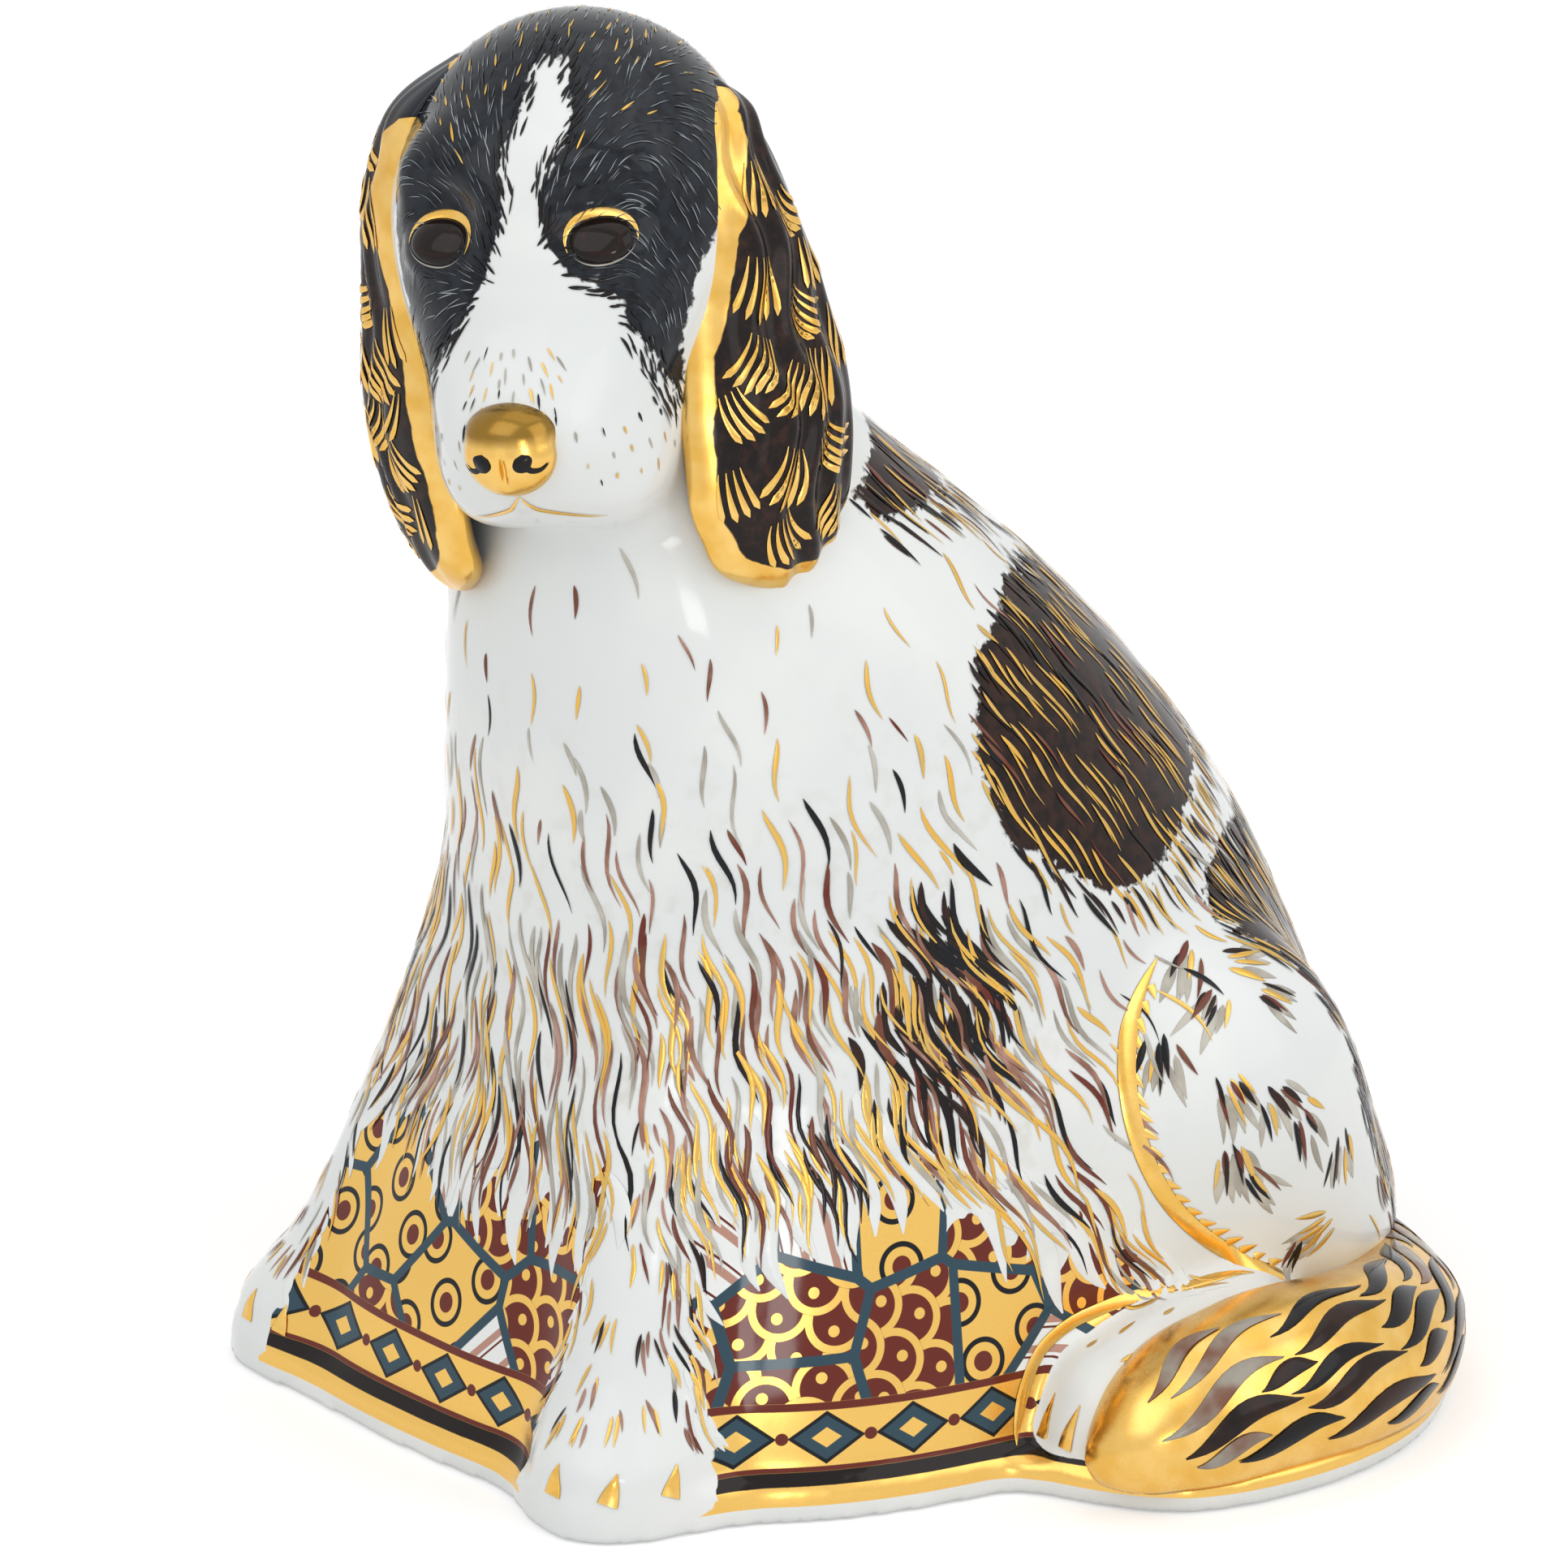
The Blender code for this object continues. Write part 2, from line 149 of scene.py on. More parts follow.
# Head axes: forward, left, up
HEAD_CENTRE = np.array((-4.5, -26.6, 113.6))
HEAD_YAW = radians(39)
HEAD_ROLL = radians(6)
SKULL = ((-1.2, 0, 0.4), (16.6, 15.5, 15.9))
SKULL_EASE = 5

# Face, sections square to its own slope: along, top, underside, half width
FACE_TILT = radians(37)
FACE_START = (0.0, 0.0, -2.0)
FACE_SECTIONS = np.array((
    (0.0, 14.4, -14.0, 14.4),
    (6.0, 14.2, -14.0, 14.0),
    (11.0, 12.7, -13.8, 13.0),
    (15.0, 10.4, -13.2, 11.4),
    (19.0, 8.0, -12.6, 9.9),
    (23.0, 6.4, -11.6, 8.5),
    (26.0, 5.2, -10.0, 7.2),
    (28.0, 3.6, -8.2, 5.8),
    (29.6, 1.6, -6.0, 4.0),
))
FACE_POWER = 2.3
FACE_END_EASE = 6

# One side's brow, flew, eye socket and eyeball: place along, out from and above the face's slope,
# semi-axes, ease
BROW = ((4.6, 6.2, 13.0), (3.6, 4.8, 2.4), 4)
FLEW = ((18.5, 5.8, -7.2), (7.5, 4.6, 6.0), 4)
SOCKET = ((10.0, 8.2, 13.8), (3.4, 4.0, 2.4), 3)
EYEBALL = ((9.9, 7.4, 9.2), (2.8, 3.6, 2.2), 1.6)

# Ears, level sections in the head's axes: height, forward, outward, half width, half thickness
LEFT_EAR_SECTIONS = np.array((
    (-34.0, 4.6, 16.9, 2.4, 1.2),
    (-32.4, 4.5, 17.1, 5.6, 2.1),
    (-28.0, 4.0, 17.6, 8.8, 2.8),
    (-20.0, 3.0, 17.8, 10.0, 3.0),
    (-8.0, 1.5, 16.3, 8.4, 2.8),
    (4.0, 0.0, 14.1, 6.2, 2.4),
    (7.5, -2.2, 13.0, 4.0, 1.8),
    (9.3, -3.0, 12.0, 1.6, 0.7),
))
RIGHT_EAR_OUTWARD = (12.9, 13.4, 15.2, 17.0, 17.0, 15.8)
RIGHT_EAR_TOP = ((10.0, 0.5, 12.8, 4.2, 1.6), (13.0, 0.6, 9.0, 1.8, 0.6))
EAR_TURN = ((-8, 7), (radians(27), radians(13)))
EAR_BEND = 0.02

# How far the ends of an ear run past its first and last sections
EAR_ENDS = (-0.6, 0.3)

# Combed relief of the ears: its depth, the pitch of the locks, how far they wave and over what height
EAR_RELIEF = 0.35
EAR_COMB = 3.6
EAR_WAVE = 0.3
EAR_WAVE_HEIGHT = 15.0

# Gilded bands of the ears: heights, then widths from the front edge and from the rest of the outline
EAR_FRONT_BAND = (
    (-34, -28, -23, -16, -6, 0, 5, 7, 8.6, 9.2),
    (1.5, 1.4, 1.4, 1.6, 1.4, 2.2, 3.1, 2.6, 1.0, -1.0),
)
EAR_REAR_BAND = ((-34, -31, -26, -18, -10), (2.2, 1.8, 1.3, 0.8, -1.0))

# Above this height an ear is painted like the crown
EAR_CROWN = 8.8

# Fans of gold plumes on an ear: plumes and tries for each size, top, foot, margins and the room between fans
FAN_TRIES = ((5, 700), (4, 700), (3, 700), (2, 600))
FAN_TOP = 7.5
FAN_FOOT = 3
FAN_INSET = 0.93
FAN_ON_BAND = 0.5
FAN_CLEAR = 0.06

# Plumes of a fan: gap at the root, spread, how much shorter at the sides, lean and its changes
PLUME_GAP = 0.5
PLUME_SPREAD = 0.1
PLUME_SHORTER = 0.06
PLUME_LEAN = radians(38)
PLUME_LEAN_VARIES = 0.15
PLUME_CURL = (0.1, 1.5)
PLUME_WAVE = (10.5, 15.0)
PLUME_LENGTH = (4.6, 6.2)
PLUME_HALF = (0.36, 0.44)

# Tail, from its root round to the tip: how far along, across, fore and aft, height, radius
TAIL_SECTIONS = np.array((
    (0, 8.0, 44.2, 5.0, 4.8),
    (13, 21.0, 42.4, 5.0, 5.6),
    (26, 33.4, 36.0, 5.5, 7.0),
    (38, 41.0, 25.6, 6.9, 8.4),
    (51, 43.2, 13.0, 7.5, 8.5),
    (61, 43.2, 3.0, 6.6, 6.8),
    (66, 43.0, -1.6, 5.4, 4.2),
    (68, 42.8, -3.4, 4.8, 1.8),
))

# Combed relief of the tail: locks round it, their depth as a share of its radius, and how they wind along it
TAIL_LOCKS = 6
TAIL_RELIEF = 0.012
TAIL_WIND = 1.2
TAIL_WIND_RUN = 6.0

# How far the tail sinks into the foot, and how far its tip runs past the last section
TAIL_SUNK = 0.6
TAIL_TIP = 1.0

# Eyes and the stop between them, in the head's axes: place, then half length, half height and dome
EYE_PLACE = (15.8, 7.6, 0.9)
EYE_SIZE = (2.85, 2.3, 0.5)
STOP = (17.0, 0.0, -3.0)

# How far an eye stands off the head, and how deep its edge and its back are sunk
EYE_LIFT = 0.05
EYE_EDGE_SUNK = 0.5
EYE_BACK_SUNK = 0.6

# Lids round an eye: start and end in half turns, reach from its middle, half width, colour
EYELIDS = ((-0.02, 1.14, 1.18, 0.45, "gold"), (1.2, 1.94, 1.1, 0.08, "grey"))

# Nose, in the head's axes: front, domed top and cleft, then its middle, reach, mesh and painted reflection on
# top
NOSE_FRONT = ((23.7, 0, -16.1), (2.7, 4.1, 3.7))
NOSE_TOP = ((22.8, 0, -14.3), (3.3, 4.1, 2.6))
NOSE_CLEFT = ((26.6, 0.0, -17.6), (1.1, 0.3, 2.2))
NOSE_EASE = 0.5
CLEFT_EASE = 0.4
NOSE_MIDDLE = (23.4, 0, -15.8)
NOSE_REACH = 6.5
NOSE_CELL = 0.28
# The nose's upper side carries a painted reflection of the dark above it: its level, fade and most darkening
NOSE_REFLECTION_LEVEL = -15.0
NOSE_REFLECTION_FADE = 1.2
NOSE_REFLECTION_MOST = 0.85

# Foot: height, rounding, the slant of its rim, and where the hem and its lowest line begin
FOOT_HEIGHT = 3.0
FOOT_EASE = 1.2
RIM_SLANT = 0.95
HEM_FOOT = 1.6
HEM_LINE = 1.7

# Stopper's seat and bore: radius, depth
STOPPER_SEAT = (11.3, 2.1)
STOPPER_BORE = (8.3, 9.0)

# Corners of the space that the skin is read in
SKIN_LOW = (-57.3, -56.3, -1.3)
SKIN_HIGH = (55.0, 56.0, 134.0)

# Points of the ears, the tail and the eyes: rings, and points in a ring
EAR_MESH = (132, 112)
TAIL_MESH = (110, 56)
EYE_MESH = (9, 40)

# Dark side of the face mask, in the head's left and up: the inner edge down, the outer edge back up
LEFT_MASK = (
    (0.6, 14.8), (3.0, 14.2), (3.9, 12.1), (4.6, 9.9), (3.7, 7.2), (2.4, 5.1), (2.4, 2.6), (3.3, 0.6),
    (4.3, -1.3), (6.8, -2.9), (8.7, -4.5), (9.4, -7.0), (10.3, -8.7), (10.7, -11.5), (11.2, -14.4),
    (11.7, -13.0), (12.3, -9.2), (13.8, -4.4), (15.0, -1.0), (15.9, 1.6), (22.0, 2.0), (22.0, 24.0),
    (0.6, 24.0),
)
RIGHT_MASK = (
    (0.6, 14.8), (-0.1, 13.6), (-0.1, 11.6), (-1.0, 8.7), (-1.5, 6.7), (-0.9, 3.3), (-1.8, 0.8), (-2.6, -1.8),
    (-4.5, -5.0), (-5.7, -6.4), (-7.6, -8.9), (-9.6, -12.0), (-10.6, -10.0), (-12.2, -4.2), (-12.9, 0.5),
    (-13.2, 5.4), (-22.0, 8.0), (-22.0, 24.0), (0.6, 24.0),
)
NAPE = -11.0

# From where forward the mask follows its outline, how that fades in, and how far the head's paint reaches
MASK_START = 0.5
MASK_FADE = 3.0
HEAD_REACH = 40
FAR = 9.0

# Dark patches on the left flank: degrees round the trunk from its front, and height
FLANK_PATCHES = (
    ((66, 92.0), (56, 89.0), (62, 86.5), (89, 85.5), (104, 84.5), (150, 86.0), (182, 86.0), (182, 100.0),
     (110, 97.0)),
    ((105, 78.6), (84, 73.8), (81, 65.0), (87, 57.0), (97, 53.6), (107, 50.0), (118, 50.4), (126, 52.2),
     (136, 54.8), (146, 57.0), (158, 60.0), (182, 62.0), (182, 76.0), (150, 76.0), (128, 78.0)),
    ((141, 50.5), (133, 49.0), (128, 46.2), (128.5, 43.5), (131.5, 41.2), (133.5, 38.5), (134, 33.0),
     (134.5, 27.5), (137.5, 19.5), (144, 13.0), (152, 8.0), (182, 8.0), (182, 50.0), (160, 50.5)),
)
MM_PER_DEGREE = 0.45
PATCH_WAVE = (1.5, 9.0)

# Where the flank patches stop: how near the head, ahead of this place in its axes
PATCH_OFF_HEAD = 2.5
PATCH_HEAD_START = -6

# Lowest reach of the coat's fringe over the cloth: degrees round the trunk, and height
FRINGE = np.array((
    (0, 30.5), (10, 30.7), (19, 30.4), (26, 32.0), (40, 32.0), (46, 30.5), (55, 33.5), (64, 34.0), (72, 29.5),
    (82, 25.0), (93, 24.0), (102, 18.0), (108, 12.0), (114, 2.0), (120, -20.0), (180, -40.0),
))

# How much higher the fringe hangs on the right of the chest, by degrees round the trunk
FRINGE_RISE = ((-70, -45, -20, -8), (0, 2.5, 2.5, 0))

# The cloth's edges in front, over the inner halves of the forelegs: across at the foot, and lean
CLOTH_FRONT = -30.0
CLOTH_RIGHT_EDGE = -25.0
CLOTH_RIGHT_LEAN = 0.1
CLOTH_LEFT_EDGE = 14.2
CLOTH_LEFT_LEAN = 0.05
CLOTH_LEG_MARGIN = 2

# How far the cloth stays off the legs, and how far below the fringe is still told
CLOTH_OFF_FORELEG = 1.2
CLOTH_OFF_HIND_PAW = 0.6
CLOTH_OFF_HAUNCH = 1.0
FRINGE_FAR = 20

# Soft grey under the coat's strokes, by height and by degrees round the trunk
WASH_HEIGHTS = ((24, 32, 58, 76), (0, 0.8, 0.4, 0))
WASH_TURNS = ((0, 85, 105), (1, 1, 0))

# Patchwork of the cloth: size of a patch, edge of its seam, and where the kinds of print change over
PATCH = 10.5
SEAM = (0.42, 0.5)
SCALES_FROM = (0.395, 0.405)
TICKING_FROM = (0.795, 0.805)
LINE_BLUR = 0.03

# Ringed dots: tile, radius and half width of the ring, radius of the pip
DOT_TILE = 5.8
DOT_RING = 1.9
DOT_RING_HALF = 0.24
DOT_PIP = 0.9

# Scales: width, row, radius and half width of the arc, height and radius of the bead
SCALE_WIDTH = 5.2
SCALE_ROW = 2.8
SCALE_ARC = 2.45
SCALE_ARC_HALF = 0.34
BEAD_UP = 0.9
BEAD = 0.5

# Ticking: repeat, half widths of the broad and the thin stripe, the thin one's shift in repeats
TICKING = 2.6
STRIPE_HALF = 0.34
THIN_STRIPE_HALF = 0.1
THIN_STRIPE_SHIFT = 0.27

# Hem: lozenge repeat, height of the middle, lean of the sides, edges of heart, lozenge, rim and pearl
LOZENGE_REPEAT = 7.4
LOZENGE_MIDDLE = 5.7
LOZENGE_LEAN = 0.72
LOZENGE_HEART = (0.86, 0.94)
LOZENGE = (1.92, 2.0)
LOZENGE_RIM = (2.3, 2.38)
PEARL = (0.5, 0.58)

# Hem's top and the softness of its lines, then the lines: foot, top and colour
HEM_TOP = 8.8
HEM_BLUR = 0.04
HEM_LINES = ((8.1, HEM_TOP, "iron_red"), (2.8, 3.2, "iron_red"), (HEM_LINE, 2.8, "umber_black"))

# Locks of the fringe and of the feathering beside the legs: period, depth, seed
FRINGE_LOCKS = (5.2, 8.5, 3.0)
FRINGE_SMALL_LOCKS = (3.1, 6.0, 17.0)
FEATHER_LOCKS = (4.6, 1.3, 31.0)

# Colours of the hairs, with their weights
COAT_MIX = {"fine": 7, "grey": 5, "pink": 3, "sienna": 1.5, "black": 2}
FRINGE_MIX = {"fine": 7, "black": 2, "sienna": 2, "pink": 3, "grey": 4, "umber": 0.6}
LOCK_MIX = {"umber": 5, "black": 4, "sienna": 2}
PATCH_MIX = {"fine": 7, "black": 2, "sienna": 1}
PATCH_EDGE_MIX = {"black": 4, "umber": 5, "fine": 2, "sienna": 1}
LEG_MIX = {"fine": 5, "pink": 3, "sienna": 1, "umber": 1}
HAUNCH_MIX = {"fine": 5, "sienna": 2, "umber": 3, "black": 3}
BRIDGE_MIX = {"grey": 4, "fine": 3, "black": 2}
WHISKER_MIX = {"black": 3, "fine": 2, "grey": 2}

# Chest hair, thicker and longer downwards: heights, weights, number, gap, lengths, half widths, colours
CHEST_ROWS = (
    ((56, 64, 78, 88), (0, 1, 0.5, 0), 85, 3.4, (2.5, 6), (0.13, 0.27), COAT_MIX),
    ((38, 50, 60, 70), (0, 1, 0.8, 0), 210, 2.1, (4, 9), (0.15, 0.3), COAT_MIX),
    ((25, 32, 44, 56), (0, 1, 0.9, 0), 380, 1.45, (6, 11), (0.17, 0.32), FRINGE_MIX),
)

# Dark lock beside the left foreleg: degrees round the trunk and height of its middle, and its spread
LOCK_BEARING = 69
LOCK_HEIGHT = 44
LOCK_SPREAD = (7.5, 5.5)

# How the coat falls: fanning from the chest, swept back by degrees round the trunk, and off the legs
FALL_FAN = 0.25
FALL_FAN_WIDTH = 12
FALL_SWEEP = ((45, 95), (0.1, 0.55))
FLANK_SWEEP = 0.55
FEATHER_FALL = -1.6

# Shared waves of the hairs: height, drift across and along the body, and how each hair differs
HAIR_WAVE = 11.0
WAVE_DRIFT = 0.35
WAVE_ACROSS = 6.0
WAVE_ALONG = 7.0
WAVE_VARIES = 0.8

# Brush strokes: steps along each, and how far they lie off the glaze
STROKE_STEPS = 8
LIFT = (0.06, 0.13)
UNDER_LIFT = (0.0, 0.03)
WASH_LIFT = (0.02, 0.05)
OVER_LIFT = (0.12, 0.17)

# Flames painted on the tail: lengths and tries, the gap between them, and their tilt along the tail
FLAME_TRIES = ((10.0, 13.0, 2500), (7.5, 9.5, 2500), (5.0, 7.0, 2500))
FLAME_CLEAR = 0.14
FLAME_HALF = (0.78, 1.1)
FLAME_TILT = ((8, 30, 52, 64), (-0.5, -0.28, -0.14, -0.3))
FLAME_STEPS = 14
FLAME_MIX = {"black": 4, "umber": 5, "taupe": 3}

# Where flames lie: from root and tip, angles round the tail, swing, height over the foot, highest turn
FLAME_FIRST = 0.5
FLAME_LAST = 3.5
FLAME_TURN = (-0.4, 1.9)
FLAME_SWING = 0.34
FLAME_LEAST_RADIUS = 4.0
FLAME_ABOVE_FOOT = 1.2
FLAME_HIGHEST = ((10, 40), (1.9, 1.5))

# Tufts on the left haunch and foreleg: middle, heading back and up, size
HAUNCH_TUFTS = (
    (26.2, 17.9, 41.9, -0.6, -1.0, 0.8), (29.2, 18.8, 38.7, -0.5, -1.0, 1.0),
    (29.6, 24.9, 38.6, 0.8, -0.6, 0.8), (27.0, 23.8, 41.5, 0.9, -0.3, 0.9),
    (29.4, 13.2, 34.8, 0.1, -1.0, 1.2), (32.9, 18.7, 31.3, 0.25, -1.0, 1.3),
    (33.7, 23.1, 29.8, 0.45, -1.0, 1.4), (33.9, 26.2, 27.4, 0.5, -1.0, 1.0),
    (33.9, 18.0, 25.3, 0.3, -1.0, 1.1), (34.5, 20.5, 23.3, 0.7, -0.7, 0.7),
    (33.1, 30.7, 23.1, 0.1, -1.0, 1.2), (34.0, 27.1, 16.7, -1.0, -0.3, 1.1),
    (34.2, 24.2, 14.5, -0.5, -1.0, 0.5),
)
LEG_TUFTS = (
    (16.8, -29.8, 38.4, 0.1, -1.0, 0.6), (16.3, -33.4, 33.6, 0.0, -1.0, 0.6),
    (18.8, -31.6, 30.2, 0.1, -1.0, 0.6), (17.7, -34.8, 28.2, 0.0, -1.0, 0.5),
    (19.1, -36.0, 23.2, 0.0, -1.0, 0.6), (20.9, -33.7, 21.6, 0.1, -1.0, 0.6),
    (18.6, -39.4, 17.4, -0.2, -1.0, 0.6), (21.9, -36.8, 15.3, 0.0, -1.0, 0.6),
    (19.4, -41.2, 12.5, -0.3, -1.0, 0.6), (17.9, -43.9, 9.3, -0.3, -1.0, 0.4),
    (20.5, -43.3, 9.5, -0.2, -1.0, 0.4), (23.2, -41.1, 9.6, 0.0, -1.0, 0.4),
    (24.1, -37.9, 10.2, 0.1, -1.0, 0.5), (25.4, -35.0, 8.4, 0.2, -1.0, 0.4),
)

# Width of a tuft of size 1, spread of its hairs and how far they sway
TUFT_SPAN = 2.4
TUFT_SPREAD = 0.22
TUFT_SWAY = 0.2

# Gilded lines round the haunch, from its top to the heel, and along the hind paw; claws, toes and flecks
HAUNCH_LINE = (
    (25.3, 15.5, 42.9), (26.3, 13.0, 40.6), (27.2, 11.2, 38.0), (28.3, 10.1, 34.9), (29.6, 9.7, 30.8),
    (31.0, 10.4, 26.4), (32.2, 12.1, 22.5), (33.3, 14.9, 19.1), (34.3, 18.7, 16.1), (35.0, 22.8, 13.8),
)
HIND_PAW_LINE = (
    (34.3, -5.9, 3.8), (33.8, -5.5, 5.5), (33.5, -4.5, 8.6), (33.1, -2.4, 11.8), (32.8, 0.4, 13.3),
    (32.7, 4.5, 14.1), (32.7, 9.2, 14.4), (34.2, 13.8, 14.9), (35.5, 19.2, 15.1),
)
LEFT_CLAWS = ((20.7, -46.7, 4.0), (25.2, -43.4, 3.8), (26.6, -37.9, 3.8))
RIGHT_CLAWS = ((-27.6, -46.9, 4.3), (-32.0, -44.0, 3.8), (-34.4, -38.2, 3.8), (-23.6, -46.0, 3.8))
HIND_TOES = ((35.2, -3.6, 4.4), (38.4, -3.6, 4.4))
HIND_FLECKS = ((36.0, 4.0, 12.8), (38.4, 2.4, 10.8), (36.4, 8.6, 13.9), (39.6, 6.4, 11.0), (35.2, 1.2, 11.6))
HAUNCH_LINE_HALF = 1.05
HIND_PAW_LINE_HALF = 0.62
BARB_LENGTH = (1.3, 2.0)
BARB_HALF = 0.45
TOE_LENGTH = 4.4
TOE_HALF = 0.7
FLECK_LENGTH = (1.4, 2.4)
FLECK_HALF = 0.2
CLAW_LENGTH = 3.0
CLAW_HALF = 0.95

# Marks of the face, in the head's axes, for the left side
MOUTH = ((22.8, 0.0, -20.2), (22.2, 1.2, -21.8), (20.8, 3.0, -23.0), (19.0, 4.6, -23.4), (17.2, 5.8, -23.0))
NOSTRIL = ((26.1, 1.5, -15.6), (26.0, 1.9, -16.3), (25.8, 2.4, -16.9), (25.3, 3.1, -17.0), (24.7, 3.7, -16.5))
WHISKER_ROWS = ((21.0, 4.6, -15.4), (20.4, 5.4, -17.4), (19.6, 5.8, -19.4))
WHISKER_STEP = (-1.9, 0.9, 0.1)
WHISKERS = 5
MOUTH_HALF = 0.2
NOSTRIL_HALF = 0.95

# Place of the figure's own axes in the frame
TRUNK_LOW, TRUNK_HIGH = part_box("trunk_shell")
PAW_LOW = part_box("hind_paw_left")[0]
SHIFT = np.array((
    (TRUNK_LOW.x + TRUNK_HIGH.x) / 2 / MM - MIDPLANE,
    PAW_LOW.y / MM - HIND_PAW_SECTIONS[0, 0],
    0,
))


def smooth_rows(table, at):
    """Rows of a table, read along a smooth curve at values of its first column."""
    key = table[:, 0]
    slope = np.gradient(table[:, 1:], key, axis=0)
    i = np.clip(np.searchsorted(key, at) - 1, 0, len(key) - 2)
    span = (key[i + 1] - key[i])[:, None]
    t = (at - key[i])[:, None] / span
    return (
        (2 * t**3 - 3 * t**2 + 1) * table[i, 1:]
        + (t**3 - 2 * t**2 + t) * slope[i] * span
        + (3 * t**2 - 2 * t**3) * table[i + 1, 1:]
        + (t**3 - t**2) * slope[i + 1] * span
    )


def read(table, at):
    """Each further column of a table at any array of values of its first."""
    key = np.linspace(table[0, 0], table[-1, 0], 300)
    rows = smooth_rows(table, key)
    return [np.interp(at, key, column) for column in rows.T]


def eased(a, b, ease):
    """Union of two distance fields with a soft valley."""
    h = np.clip(0.5 + 0.5 * (b - a) / ease, 0, 1)
    return b * (1 - h) + a * h - ease * h * (1 - h)


def both(a, b, ease):
    """What two distance fields share, with a soft edge."""
    return -eased(-a, -b, ease)


def oval(offsets, semi_axes):
    """About how far a point is from an ellipse or ellipsoid."""
    near = np.sqrt(sum((o / s) ** 2 for o, s in zip(offsets, semi_axes)))
    slope = np.sqrt(sum((o / s**2) ** 2 for o, s in zip(offsets, semi_axes)))
    return near * (near - 1) / np.maximum(slope, 1e-6)


def ball(p, centre, semi_axes, tilt=0.0):
    """Ellipsoid, tilted nose down about its second axis."""
    x, y, z = (p[..., i] - centre[i] for i in range(3))
    c, s = cos(tilt), sin(tilt)
    return oval((c * x - s * z, y, s * x + c * z), semi_axes)


def section(across, half_across, up, half_up, power):
    """About how far a point is from a superellipse."""
    rho = ((np.abs(across) / half_across) ** power + (np.abs(up) / half_up) ** power) ** (1 / power)
    return np.hypot(across, up) * (1 - 1 / np.maximum(rho, 1e-3))


def rump_swell(across, along, height):
    """How far the rump swells out beyond the trunk's oval, on rays from its centre."""
    turn = (np.arctan2(across, along) - RUMP_BEARING) / RUMP_SPREAD
    rise = (height - RUMP_HEIGHT) / RUMP_RISE
    return RUMP_SWELL * np.exp(-(turn**2) - rise**2)


def trunk(p):
    """Trunk, rump and neck, with the squarer and slanting front of the skirt."""
    z = p[..., 2]
    front, back, half = read(TRUNK_SECTIONS, z)
    skirt = np.clip(1 - z / SKIRT_TOP, 0, 1)
    depth = (back - front) / 2
    across, along = p[..., 0] - MIDPLANE, p[..., 1] - (front + back) / 2
    along = along - SKIRT_SLANT * skirt * across * np.clip(-along / depth, 0, 1)
    power = TRUNK_POWER + (SKIRT_POWER - TRUNK_POWER) * skirt * (along < 0)
    side = section(across, half, along, depth, power) - rump_swell(across, along, z)
    return both(side, z - TRUNK_SECTIONS[-1, 0], NECK_EASE)


def forelegs(p):
    """Both forelegs and their paws."""
    z = p[..., 2]
    out, along, half_x, half_y = read(FORELEG_SECTIONS, z)
    along = along + np.sign(p[..., 0] - MIDPLANE) * PAW_STAGGER * np.clip(1 - z / PAW_STAGGER_TOP, 0, 1)
    leg = oval((np.abs(p[..., 0] - MIDPLANE) - out, p[..., 1] - along), (half_x, half_y))
    return both(leg, z - FORELEG_SECTIONS[-1, 0], FORELEG_TOP_EASE)


def hind_paws(p):
    """Both hind paws."""
    y = p[..., 1]
    out, height, half_x, half_z = read(HIND_PAW_SECTIONS, y)
    paw = oval((np.abs(p[..., 0] - MIDPLANE) - out, p[..., 2] - height), (half_x, half_z))
    beyond = np.maximum(HIND_PAW_SECTIONS[0, 0] - y, y - HIND_PAW_SECTIONS[-1, 0])
    return both(paw, beyond, HIND_PAW_END_EASE)


def haunches(p):
    """Both thighs."""
    q = p.copy()
    q[..., 0] = np.abs(p[..., 0] - MIDPLANE)
    return ball(q, THIGH_CENTRE, THIGH_SEMI_AXES)


def head_axes():
    """Forward, left and up of the turned and tipped head, as rows."""
    forward = np.array((sin(HEAD_YAW), -cos(HEAD_YAW), 0))
    left = np.array((cos(HEAD_YAW), sin(HEAD_YAW), 0))
    up = np.array((0, 0, 1.0))
    return np.array((
        forward,
        cos(HEAD_ROLL) * left + sin(HEAD_ROLL) * up,
        cos(HEAD_ROLL) * up - sin(HEAD_ROLL) * left,
    ))


HEAD_AXES = head_axes()


def to_head(p):
    """Points in the head's axes."""
    return (p - HEAD_CENTRE) @ HEAD_AXES.T


def from_head(q):
    """Points of the head in the figure's axes."""
    return np.asarray(q, float) @ HEAD_AXES + HEAD_CENTRE


def in_face(along, out, rise):
    """A place given along the face's slope, in the head's axes."""
    c, s = cos(FACE_TILT), sin(FACE_TILT)
    return (FACE_START[0] + c * along + s * rise, out, FACE_START[2] - s * along + c * rise)


def face(q):
    """Wedge from the forehead to the front of the muzzle."""
    x, z = q[..., 0] - FACE_START[0], q[..., 2] - FACE_START[2]
    c, s = cos(FACE_TILT), sin(FACE_TILT)
    along, rise = c * x - s * z, s * x + c * z
    top, low, half = read(FACE_SECTIONS, along)
    side = section(q[..., 1], half, rise - (top + low) / 2, (top - low) / 2, FACE_POWER)
    return both(side, np.maximum(along - FACE_SECTIONS[-1, 0], -along), FACE_END_EASE)


def head(p):
    """Skull, brows, cheeks, muzzle and eye sockets."""
    q = to_head(p)
    q[..., 1] = np.abs(q[..., 1])
    form = eased(ball(q, *SKULL), face(q), SKULL_EASE)
    for join, sign, (place, semi_axes, ease) in (
        (eased, 1, BROW), (eased, 1, FLEW), (both, -1, SOCKET), (eased, 1, EYEBALL),
    ):
        form = join(form, sign * ball(q, in_face(*place), semi_axes, FACE_TILT), ease)
    return form


